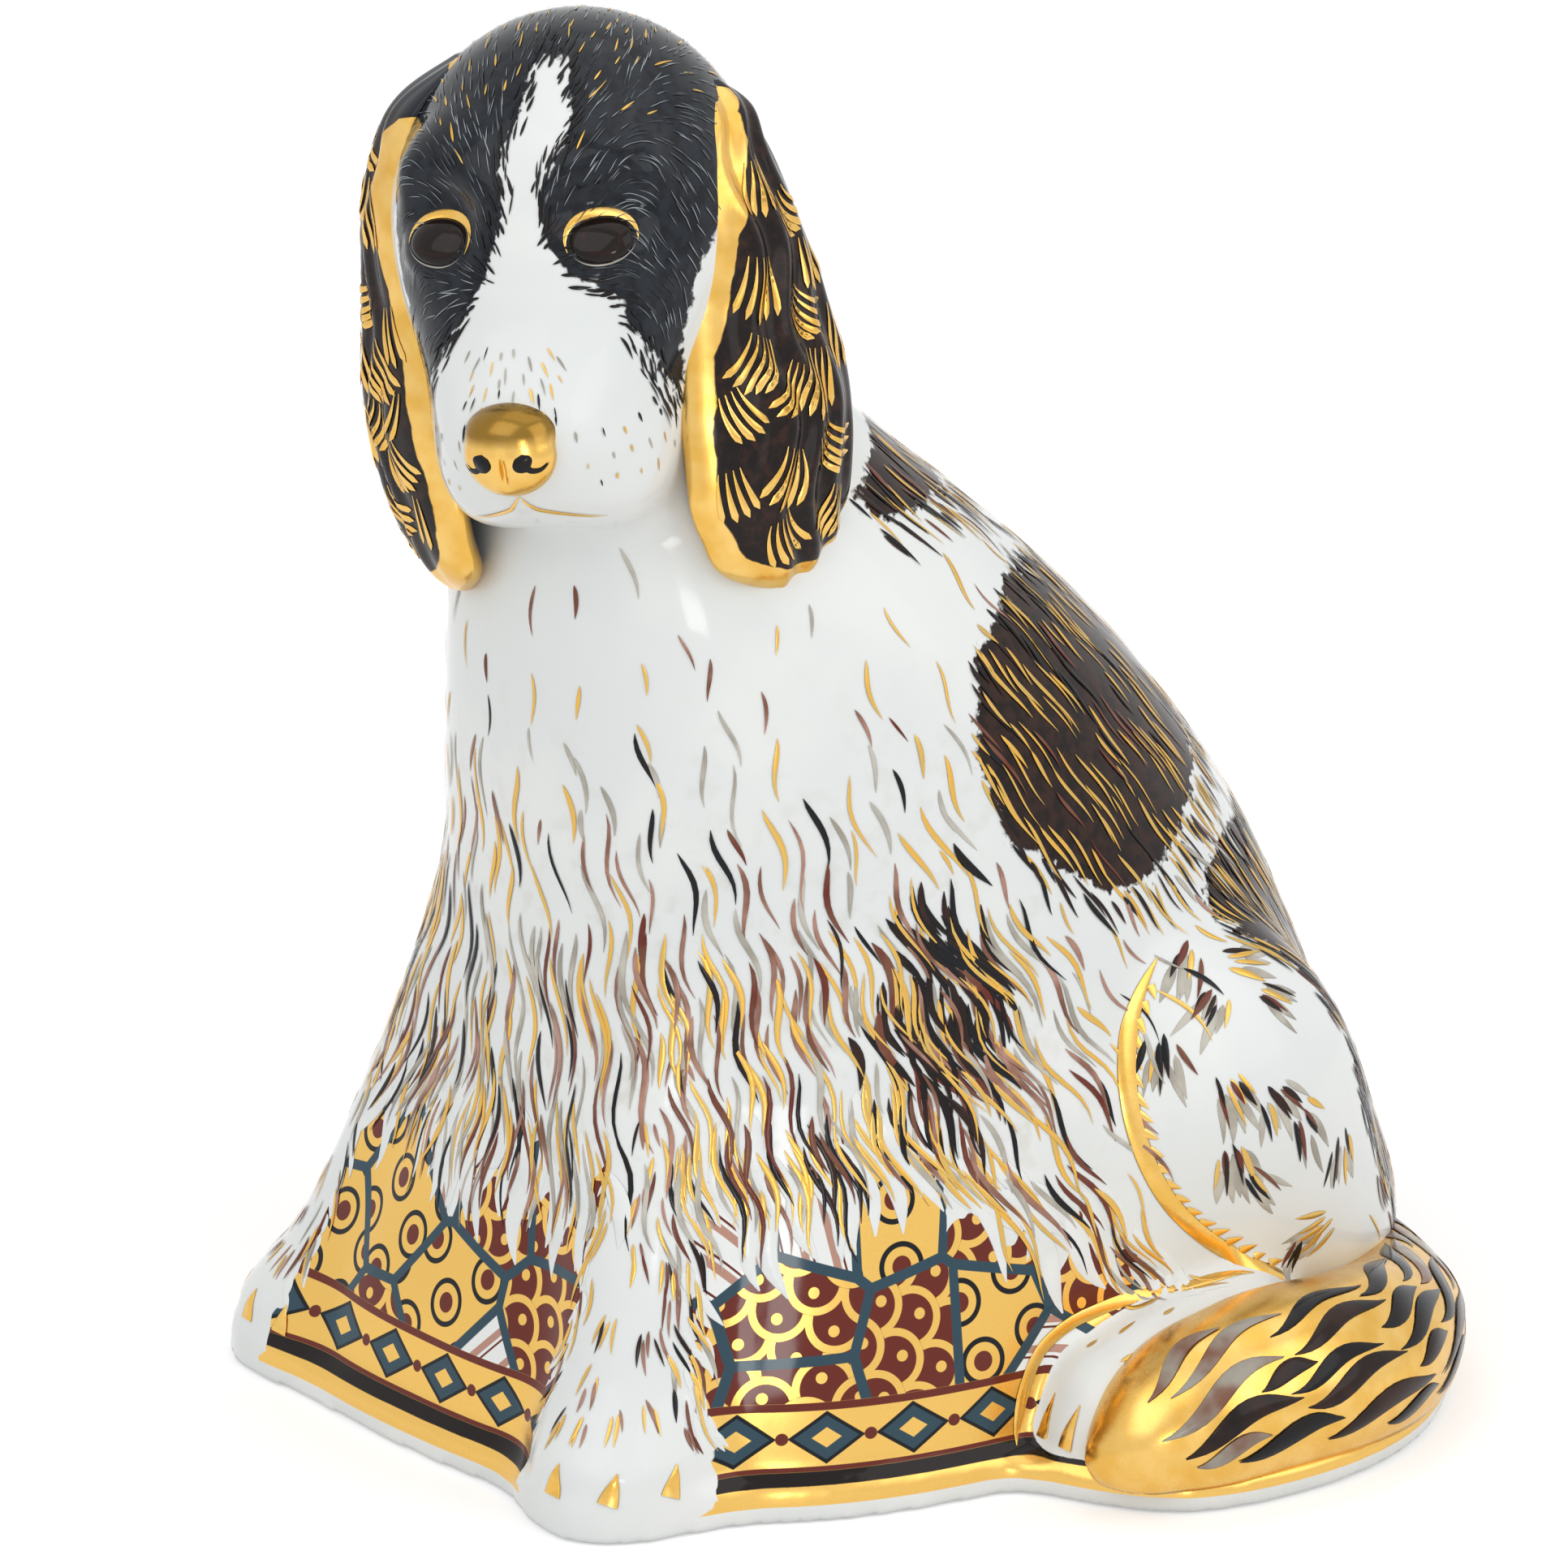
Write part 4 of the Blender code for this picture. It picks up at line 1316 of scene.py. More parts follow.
def brush_tree():
    """Geometry nodes that turn polylines into flat ribbons of their own width, lying along their lean."""
    tree = bpy.data.node_groups.get("brush strokes")
    if tree:
        return tree
    tree = bpy.data.node_groups.new("brush strokes", "GeometryNodeTree")
    tree.interface.new_socket("Geometry", in_out="INPUT", socket_type="NodeSocketGeometry")
    tree.interface.new_socket("Film", in_out="INPUT", socket_type="NodeSocketFloat")
    tree.interface.new_socket("Paint", in_out="INPUT", socket_type="NodeSocketMaterial")
    tree.interface.new_socket("Geometry", in_out="OUTPUT", socket_type="NodeSocketGeometry")

    def node(kind, links=(), **settings):
        made = tree.nodes.new(kind)
        for name, value in settings.items():
            setattr(made, name, value)
        for name, source in links:
            if hasattr(source, "links"):
                tree.links.new(source, made.inputs[name])
            else:
                made.inputs[name].default_value = source
        return made

    start = node("NodeGroupInput")
    lean = node("GeometryNodeInputNamedAttribute", [("Name", "lean")], data_type="FLOAT_VECTOR")
    width = node("GeometryNodeInputNamedAttribute", [("Name", "half_width")], data_type="FLOAT")
    line = node("GeometryNodeMeshToCurve", [("Mesh", start.outputs["Geometry"])])
    stood = node(
        "GeometryNodeSetCurveNormal", [("Curve", line.outputs[0]), ("Normal", lean.outputs[0])], mode="FREE"
    )
    profile = node(
        "GeometryNodeCurvePrimitiveQuadrilateral",
        [("Height", start.outputs["Film"]), ("Bottom Width", 2.0), ("Top Width", 1.75), ("Offset", 0.0)],
        mode="TRAPEZOID",
    )
    laid = node("GeometryNodeTransform", [("Geometry", profile.outputs[0]), ("Rotation", (0, 0, -pi / 2))])
    swept = node(
        "GeometryNodeCurveToMesh",
        [("Curve", stood.outputs[0]), ("Profile Curve", laid.outputs[0]), ("Scale", width.outputs[0]),
         ("Fill Caps", True)],
    )
    made = node("GeometryNodeRealizeInstances", [("Geometry", swept.outputs[0])])
    painted = node(
        "GeometryNodeSetMaterial", [("Geometry", made.outputs[0]), ("Material", start.outputs["Paint"])]
    )
    node("NodeGroupOutput", [("Geometry", painted.outputs[0])])
    return tree


def ribbons(name, strokes, material):
    """One mesh of flat ribbons along the given points, leans and half widths."""
    points = np.concatenate([stroke[0] for stroke in strokes])
    leans = np.concatenate([stroke[1] for stroke in strokes])
    widths = np.concatenate([stroke[2] for stroke in strokes])
    edges, start = [], 0
    for stroke in strokes:
        count = len(stroke[0])
        edges += [(start + k, start + k + 1) for k in range(count - 1)]
        start += count
    mesh = bpy.data.meshes.new(name + "_lines")
    mesh.from_pydata(in_frame(points).tolist(), edges, [])
    lean = mesh.attributes.new("lean", "FLOAT_VECTOR", "POINT")
    lean.data.foreach_set("vector", leans.astype(np.float32).ravel())
    half_width = mesh.attributes.new("half_width", "FLOAT", "POINT")
    half_width.data.foreach_set("value", (widths * MM).astype(np.float32))
    lines = bpy.data.objects.new(name + "_lines", mesh)
    bpy.context.scene.collection.objects.link(lines)
    tree = brush_tree()
    modifier = lines.modifiers.new("brush", "NODES")
    modifier.node_group = tree
    values = {"Film": bpy.context.scene.spaniel_sizes.film, "Paint": material}
    for item in tree.interface.items_tree:
        if item.in_out == "INPUT" and item.name in values:
            modifier[item.identifier] = values[item.name]
    shown = lines.evaluated_get(bpy.context.evaluated_depsgraph_get())
    made = bpy.data.meshes.new_from_object(shown)
    made.name = name
    piece = bpy.data.objects.new(name, made)
    bpy.context.scene.collection.objects.link(piece)
    bpy.data.objects.remove(lines)
    return piece


def toward(vectors):
    """A heading that stays the same, for all strokes or for each its own."""
    return lambda p: np.broadcast_to(np.asarray(vectors, float), p.shape)


SKIN = {}


def skin_points():
    """Points of the china skin and its quads, made the first time they are asked for."""
    if not SKIN:
        step = bpy.context.scene.spaniel_sizes.skin_cell / MM
        points, quads = surface(cast, SKIN_LOW, SKIN_HIGH, step)
        upper = points[:, 2] > FOOT_HEIGHT + 0.5
        points[upper], _ = settled(china, points[upper], 2)
        SKIN.update(points=points, quads=quads)
    return SKIN["points"], SKIN["quads"]


class SPANIEL_OT_skin(bpy.types.Operator):
    """Cast the china skin: trunk, head, legs, haunches and foot in one glazed surface"""
    bl_idname = "spaniel.skin"
    bl_label = "China skin"

    def execute(self, context):
        points, quads = skin_points()
        below, fore, hind = cloth_edges(points)
        # No cloth in the stopper's bore
        fore[np.hypot(*(points + SHIFT).T[:2]) < STOPPER_SEAT[0] + 1] = fore.min()
        skin = mesh_piece("china_skin", points, quads, once(china_material, "painted_china"), {
            "mask": face_mask(points),
            "patch": flank_patch(points),
            "cloth_top": below,
            "cloth_fore": fore,
            "cloth_hind": hind,
            "cloth_place": cloth_place(points),
            "hair_wash": hair_wash(points),
        })
        settle(
            skin, "white_china", "trunk_shell", "head_shell", "base_plate", "foreleg_left", "foreleg_right",
            "haunch_left", "haunch_right", "hind_paw_left", "hind_paw_right",
        )
        return {"FINISHED"}


def ear_table(side):
    """Sections of one ear: side 1 is the left, -1 the right."""
    table = LEFT_EAR_SECTIONS.copy()
    if side < 0:
        table[:-2, 2] = RIGHT_EAR_OUTWARD
        table[-2:] = RIGHT_EAR_TOP
    return table


def ear_place(side, height, share, thick):
    """Places on an ear by height, share of its half width and share of its thickness, outward 1."""
    forward, out, half_w, half_t = read(ear_table(side), height)
    along = half_w * share
    comb = np.sin(2 * pi * (along / EAR_COMB + EAR_WAVE * np.sin(2 * pi * height / EAR_WAVE_HEIGHT)))
    relief = EAR_RELIEF * comb
    for fade in (3 * (1 - share**2), 3 * share + 2, thick):
        relief = relief * np.clip(fade, 0, 1)
    across = half_t * thick + relief - EAR_BEND * along**2
    turn = np.interp(height, *EAR_TURN)
    x = across * np.sin(turn) - along * np.cos(turn)
    y = across * np.cos(turn) + along * np.sin(turn)
    return from_head(np.stack((forward + x, side * (out + y), height + 0 * x), -1))


def ear_face(side, height, along):
    """Places and outward directions on an ear's outer face, by height and distance from its middle line."""
    def place(h, a):
        share = np.clip(a / read(ear_table(side), h)[2], -0.97, 0.97)
        return ear_place(side, h, share, np.sqrt(1 - share**2))

    p = place(height, along)
    out = np.cross(place(height + 0.2, along) - p, place(height, along + 0.2) - p)
    out *= np.sign(side * (out @ HEAD_AXES[1]))[..., None]
    return p, unit(out)


def ear_rim(side, height, along):
    """Millimetres outside an ear's plain middle: above 0 is the gilded band."""
    table = ear_table(side)
    rows = np.linspace(table[0, 0], table[-1, 0], 60)
    half = read(table, rows)[2]
    outline = np.column_stack((np.concatenate((-half, half[::-1])), np.concatenate((rows, rows[::-1]))))
    depth = depth_in(np.column_stack((along, height)), outline)
    share = np.linspace(-1, 1, 61)
    free = head(ear_place(side, rows[:, None], share, np.sqrt(1 - share**2))) > 0.15
    start = half * share[np.argmax(free, axis=1)]
    front = np.interp(height, *EAR_FRONT_BAND) - (along - np.interp(height, rows, start))
    rear = np.interp(height, *EAR_REAR_BAND) - depth
    return np.maximum(front, rear)


def clear_of(laid, across, down, half, gap):
    """Whether strokes on a flat chart lie clear of those laid, which are points with their half widths."""
    if not laid:
        return True
    taken = np.concatenate(laid)
    apart = np.hypot(across[..., None] - taken[:, 0], down[..., None] - taken[:, 1])
    return bool((apart > half[..., None] + taken[:, 2] + gap).all())


def plume_fans(side, rng):
    """Fans of plumes clear of an ear's band and of each other: heights, distances along and half widths."""
    share = np.linspace(0, 1, STROKE_STEPS + 1)
    table = ear_table(side)
    low, reach = table[0, 0], table[:, 3].max()
    laid = []
    for plumes, tries in FAN_TRIES:
        k = (np.arange(plumes) - (plumes - 1) / 2)[:, None]
        root = rng.uniform(-reach, reach, (tries, 1, 1))
        top = rng.uniform(low + FAN_FOOT, FAN_TOP, (tries, 1, 1))
        wave = top / PLUME_WAVE[0] + root / PLUME_WAVE[1]
        lean = PLUME_LEAN * np.sin(2 * pi * wave) + rng.normal(0, PLUME_LEAN_VARIES, (tries, 1, 1))
        angle = lean * (PLUME_CURL[0] + PLUME_CURL[1] * share) + PLUME_SPREAD * k
        length = rng.uniform(*PLUME_LENGTH, (tries, 1, 1))
        step = length * (1 - PLUME_SHORTER * np.abs(k)) / STROKE_STEPS
        run_a = root + PLUME_GAP * k * np.cos(lean) + np.cumsum(step * np.sin(angle), axis=2)
        run_h = top + PLUME_GAP * k * np.sin(lean) - np.cumsum(step * np.cos(angle), axis=2)
        half = rng.uniform(*PLUME_HALF, (tries, plumes))
        fits = (np.abs(run_a) < FAN_INSET * read(table, run_h)[2]) & (run_h > low + 1)
        fits = fits.all(axis=(1, 2))
        run_a, run_h, half = run_a[fits], run_h[fits], half[fits]
        rim = ear_rim(side, run_h.ravel(), run_a.ravel()).reshape(run_h.shape)
        for i in np.flatnonzero(rim.max(axis=(1, 2)) < FAN_ON_BAND):
            width = half[i][:, None] * plume_width(share)
            if clear_of(laid, run_a[i], run_h[i], width, FAN_CLEAR):
                laid.append(np.column_stack((run_a[i].ravel(), run_h[i].ravel(), width.ravel())))
                yield run_h[i], run_a[i], half[i]


def ring_piece(name, rings, material, attributes, ends):
    """A closed skin over rings of points, each end drawn to one point."""
    rows, count = rings.shape[:2]
    points = np.concatenate((rings.reshape(-1, 3), ends))
    faces = []
    for i in range(rows - 1):
        for j in range(count):
            k = (j + 1) % count
            faces.append((i * count + j, i * count + k, (i + 1) * count + k, (i + 1) * count + j))
    last = (rows - 1) * count
    for j in range(count):
        k = (j + 1) % count
        faces.append((rows * count, k, j))
        faces.append((rows * count + 1, last + j, last + k))
    centre = rings.mean(axis=1)[:, None]
    normal = np.cross(rings[1:, 1] - rings[1:, 0], rings[1:, 0] - rings[:-1, 0])
    if ((rings - centre)[1:, 0] * normal).sum() < 0:
        faces = [face[::-1] for face in faces]
    return mesh_piece(name, points, faces, material, attributes)


def ear_material(name):
    """Brown-black ear, streaked like combed hair, inside a gilded edge."""
    material, wire, shader = new_material(name)
    streak = wire.noise(1.2, 4.0).ramp(0.3, 0.55)
    brown = streak.over(colour("umber_black"), colour("umber"))
    brown = wire.attribute("crown").over(colour("slate"), brown)
    wobble = 0.5 * (wire.noise(2.0) - 0.5)
    gilt = (wire.attribute("rim") + wobble).ramp(-0.08, 0.08)
    gold = wire.noise(3.0).ramp(0.3, 0.7).over(colour("gold_light"), colour("gold_deep"))
    connect(
        shader, wire,
        Base_Color=gilt.over(gold, brown),
        Metallic=gilt,
        Roughness=0.13 + 0.11 * gilt + 0.08 * (wire.noise(0.4) - 0.5),
        Normal=glaze_bump(wire),
    )
    return material


class SPANIEL_OT_ears(bpy.types.Operator):
    """Hang the two ears, with combed relief and gilded edges"""
    bl_idname = "spaniel.ears"
    bl_label = "Ears"

    def execute(self, context):
        rows, count = EAR_MESH
        turn = np.linspace(0, 2 * pi, count, endpoint=False)
        for side, name in ((1, "ear_left"), (-1, "ear_right")):
            table = ear_table(side)
            low, high = table[0, 0], table[-1, 0]
            heights = (low + high) / 2 - (high - low) / 2 * np.cos(np.linspace(0, pi, rows))
            grid, around = np.meshgrid(heights, turn, indexing="ij")
            share = np.cos(around)
            rings = ear_place(side, grid, share, np.sin(around))
            along = share * read(table, grid)[2]
            rim = ear_rim(side, grid.ravel(), along.ravel())
            ends = np.array([ear_place(side, np.array(h), 0.0, 0.0) for h in (low, high)])
            ends += np.outer(EAR_ENDS, HEAD_AXES[2])
            crown = np.clip(2 * (grid.ravel() - EAR_CROWN), 0, 1)
            piece = ring_piece(name + "_china", rings, once(ear_material, "ear_enamel"), {
                "rim": np.concatenate((rim, (1.0, -1.0))), "crown": np.concatenate((crown, (0.0, 1.0))),
            }, ends)
            settle(piece, "painted_ear", name)
        strokes = Strokes(41)
        for side in (1, -1):
            for height, along, half in plume_fans(side, strokes.rng):
                strokes.add({"gold": 1}, *ear_face(side, height, along), half, plume_width)
        strokes.lay("ear_strokes", "painted_ear")
        return {"FINISHED"}


def tail_place(run, turn):
    """Places on the tail by distance along it and angle round it, from its outer side upward."""
    x, y, z, radius = read(TAIL_SECTIONS, run)
    ahead = [np.interp(run + 0.5, TAIL_RUN, TAIL_LINE[:, i]) for i in (0, 1)]
    behind = [np.interp(run - 0.5, TAIL_RUN, TAIL_LINE[:, i]) for i in (0, 1)]
    dx, dy = ahead[0] - behind[0], ahead[1] - behind[1]
    size = np.maximum(np.hypot(dx, dy), TINY)
    comb = np.sin(TAIL_LOCKS * turn + TAIL_WIND * np.sin(run / TAIL_WIND_RUN))
    reach = radius * (1 + TAIL_RELIEF * comb)
    side = reach * np.cos(turn)
    p = np.stack((x - side * dy / size, y + side * dx / size, z + reach * np.sin(turn)), -1)
    p[..., 2] = np.maximum(p[..., 2], FOOT_HEIGHT - TAIL_SUNK)
    return p


TAIL_RUN = np.linspace(-1, TAIL_SECTIONS[-1, 0] + 1, 140)
TAIL_LINE = np.column_stack(read(TAIL_SECTIONS, np.clip(TAIL_RUN, 0, TAIL_SECTIONS[-1, 0])))
TAIL_LINE[0, :3] = 2 * TAIL_LINE[2, :3] - TAIL_LINE[4, :3]


def tail_flames(rng):
    """Flames on the tail that lie clear of each other: points, outward directions and half widths."""
    end = TAIL_SECTIONS[-1, 0]
    share = np.linspace(0, 1, FLAME_STEPS + 1)
    laid = []
    for short, long, tries in FLAME_TRIES:
        length = rng.uniform(short, long, (tries, 1))
        along = rng.uniform(FLAME_FIRST, end - FLAME_LAST - length)
        run_s = along + length * share
        radius = np.maximum(read(TAIL_SECTIONS, run_s)[3], FLAME_LEAST_RADIUS)
        turn = rng.uniform(*FLAME_TURN, (tries, 1))
        swing = FLAME_SWING * np.sin(2 * pi * share + rng.normal(0.5, 0.3, (tries, 1)))
        swing = swing + np.interp(run_s, *FLAME_TILT)
        run_t = turn + np.cumsum(length / FLAME_STEPS * np.tan(swing) / radius, axis=1)
        half = rng.uniform(*FLAME_HALF, tries)
        p = tail_place(run_s, run_t)
        out = np.cross(tail_place(run_s + 0.2, run_t) - p, tail_place(run_s, run_t + 0.05) - p)
        centre = np.stack(read(TAIL_SECTIONS, run_s)[:3], -1)
        out = unit(out * np.sign((out * (p - centre)).sum(-1, keepdims=True)))
        fits = p[..., 2].min(axis=1) > FOOT_HEIGHT + FLAME_ABOVE_FOOT
        fits &= (run_t < np.interp(run_s, *FLAME_HIGHEST)).all(axis=1)
        for i in np.flatnonzero(fits):
            width = half[i] * flame_width(share)
            if clear_of(laid, run_s[i], radius[i] * run_t[i], width, FLAME_CLEAR):
                laid.append(np.column_stack((run_s[i], radius[i] * run_t[i], width)))
                yield p[i:i + 1], out[i:i + 1], half[i:i + 1]


class SPANIEL_OT_tail(bpy.types.Operator):
    """Curl the gilded tail round the foot and lay its flame strokes"""
    bl_idname = "spaniel.tail"
    bl_label = "Tail"

    def execute(self, context):
        end = TAIL_SECTIONS[-1, 0]
        rows, count = TAIL_MESH
        run = end / 2 - end / 2 * np.cos(np.linspace(0, pi, rows))
        turn = np.linspace(0, 2 * pi, count, endpoint=False)
        grid, around = np.meshgrid(run, turn, indexing="ij")
        rings = tail_place(grid, around)
        ends = np.array((rings[0].mean(axis=0), rings[-1].mean(axis=0) + (0, -TAIL_TIP, 0)))
        material = once(gold_material, "tail_gold", "gold_light", 0.26)
        piece = ring_piece("tail_china", rings, material, None, ends)
        settle(piece, "gilded_tail", "tail")
        strokes = Strokes(57)
        for flame in tail_flames(strokes.rng):
            strokes.add(FLAME_MIX, *flame, flame_width)
        strokes.lay("tail_strokes", "gilded_tail")
        return {"FINISHED"}


def spaced(places, gap):
    """Which of some places to keep so that none is nearer another than a gap, the first ones first."""
    kept = []
    gap = np.broadcast_to(gap, len(places))
    for i, place in enumerate(places):
        if not kept or np.min(np.sum((places[kept] - place) ** 2, axis=1)) > gap[i] ** 2:
            kept.append(i)
    return np.array(kept)


def eye_material(name):
    """Dark brown eye under clear glaze: black pupil, brown ring, dark edge."""
    material, wire, shader = new_material(name)
    out = wire.attribute("ring")
    ring = out.ramp(0.46, 0.54) * (1 - out.ramp(0.66, 0.78))
    brown = wire.noise(0.5).ramp(0.3, 0.8).over(colour("chestnut"), colour("umber_black"))
    connect(
        shader, wire,
        Base_Color=ring.over(brown, colour("umber_black")),
        Roughness=0.06 + 0.03 * wire.noise(0.6),
        Normal=glaze_bump(wire, 0.02),
    )
    return material


class SPANIEL_OT_eyes(bpy.types.Operator):
    """Set the two round brown eyes and their lids"""
    bl_idname = "spaniel.eyes"
    bl_label = "Eyes"

    def execute(self, context):
        half_long, half_tall, dome = EYE_SIZE
        strokes = Strokes(3)
        rows, count = EYE_MESH
        turn = np.linspace(0, 2 * pi, count, endpoint=False)
        shares = np.linspace(0.12, 1.0, rows)
        for side, name in ((1, "eye_left"), (-1, "eye_right")):
            middle, out = settled(head, from_head([(EYE_PLACE[0], side * EYE_PLACE[1], EYE_PLACE[2])]), 3)
            across = np.cross(HEAD_AXES[2], out[0])
            across /= np.linalg.norm(across)
            rise = np.cross(out[0], across)
            grid, around = np.meshgrid(shares, turn, indexing="ij")
            across *= side
            flat = middle[0] + (half_long * grid * np.cos(around))[..., None] * across
            flat = flat + (half_tall * grid * np.sin(around))[..., None] * rise
            laid, lean = settled(head, flat.reshape(-1, 3), 3)
            height = dome * np.sqrt(np.maximum(1 - grid.ravel() ** 2, 0)) + EYE_LIFT
            rings = (laid + lean * height[:, None]).reshape(*grid.shape, 3)
            skirt = (laid.reshape(*grid.shape, 3)[-1] - EYE_EDGE_SUNK * out[0])[None]
            rings = np.concatenate((rings, skirt))
            ends = np.array((middle[0] + out[0] * (dome + EYE_LIFT), middle[0] - out[0] * EYE_BACK_SUNK))
            ring = np.concatenate((grid.ravel(), np.ones(len(turn)), (0.0, 1.0)))
            piece = ring_piece(name, rings, once(eye_material, "eye_enamel"), {"ring": ring}, ends)
            settle(piece, "painted_head")
            for start, end, reach, width, enamel in EYELIDS:
                arc = np.linspace(start * pi, end * pi, 15)
                path = middle[0] + reach * half_long * np.outer(np.cos(arc), across)
                path = path + reach * half_tall * np.outer(np.sin(arc), rise)
                strokes.add({enamel: 1}, *drawn(head, path, 22), width, flame_width)
        strokes.lay("eyelid", "painted_head")
        return {"FINISHED"}


def nose(p):
    """Nose leather with a domed top over a flatter, cleft front."""
    q = to_head(p)
    form = eased(ball(q, *NOSE_FRONT), ball(q, *NOSE_TOP), NOSE_EASE)
    return both(form, -ball(q, *NOSE_CLEFT), CLEFT_EASE)


class SPANIEL_OT_nose(bpy.types.Operator):
    """Model the gilded nose"""
    bl_idname = "spaniel.nose"
    bl_label = "Nose"

    def execute(self, context):
        middle = from_head(NOSE_MIDDLE)
        points, quads = surface(nose, middle - NOSE_REACH, middle + NOSE_REACH, NOSE_CELL)
        points, _ = settled(nose, points, 1)
        # Painted reflection: the nose's upper side is darkened as if it mirrored the dark above it
        above = to_head(points)[:, 2] - NOSE_REFLECTION_LEVEL
        dusk = np.clip(above / NOSE_REFLECTION_FADE, 0, NOSE_REFLECTION_MOST)
        piece = mesh_piece("nose_gilt", points, quads, paint("gold"), {"dusk": dusk})
        settle(piece, "painted_head")
        return {"FINISHED"}


def mirrored(points):
    """Points on the other side of the midplane."""
    points = np.array(points, float)
    points[..., 0] = 2 * MIDPLANE - points[..., 0]
    return points


def sample(rng, weight, count, gap):
    """Skin points in number, likelier where the weight is high, none nearer another than a gap."""
    points, _ = skin_points()
    share = np.clip(weight, 0, None)
    share = share / share.sum()
    pool = rng.choice(len(points), min(6 * count, (share > 0).sum()), replace=False, p=share)
    places = points[pool] + rng.normal(0, 0.2, (len(pool), 3))
    return places[spaced(places, gap)[:count]]


def between(values, low, high, soft):
    """1 between two values, fading to 0 over a soft margin."""
    return np.clip((values - low) / soft, 0, 1) * np.clip((high - values) / soft, 0, 1)


def falling(p):
    """Down the coat, fanning away from the middle of the chest and swept back along the sides."""
    way = np.zeros_like(p)
    way[:, 0] = FALL_FAN * np.tanh((p[:, 0] - MIDPLANE) / FALL_FAN_WIDTH)
    way[:, 1] = np.interp(np.abs(bearing(p)), *FALL_SWEEP)
    way[:, 2] = -1
    return way


def outward(p):
    """Down the forelegs and away from them."""
    way = slope_of(forelegs, p)
    way[:, 2] = FEATHER_FALL
    return way


def brushed_back(p):
    """Down and back along the flanks."""
    return np.tile((0.0, FLANK_SWEEP, -1.0), (len(p), 1))


def lay_tufts(strokes, table, count, shift, length, width, colours, lift):
    """Fans of hairs at a table's places and their mirror images, but not on the cloth."""
    table = np.array(table)
    size = table[:, 5:]
    number = np.ceil(count * size)
    for flip in (np.array, mirrored):
        middles, out = settled(china, flip(table[:, :3]), 3)
        on_cloth = np.min(cloth_edges(middles), axis=0) > 0
        way = np.column_stack((np.zeros(len(table)), table[:, 3:5]))
        way = unit(way - (way * out).sum(1, keepdims=True) * out)
        across = np.cross(out, way)
        for i in range(int(number.max())):
            mine = (i < number[:, 0]) & ~on_cloth
            aside = size * (TUFT_SPAN * (i + 0.5) / number - TUFT_SPAN / 2)
            aside = aside + strokes.rng.normal(0, 0.2, (len(table), 1))
            behind = shift + strokes.rng.normal(0, 0.5, (len(table), 1))
            places = middles + aside * across - behind * way
            heading = way + TUFT_SPREAD * aside * across
            if mine.any():
                strokes.brush(places[mine], toward(heading[mine]), length, width, colours, TUFT_SWAY, lift)


def from_stop(p):
    """Away from the stop between the eyes, and down the cheeks."""
    way = to_head(p) - STOP
    way[:, 2] -= 6.0 * np.clip(np.abs(way[:, 1]) - 8.5, 0, None)
    return way @ HEAD_AXES


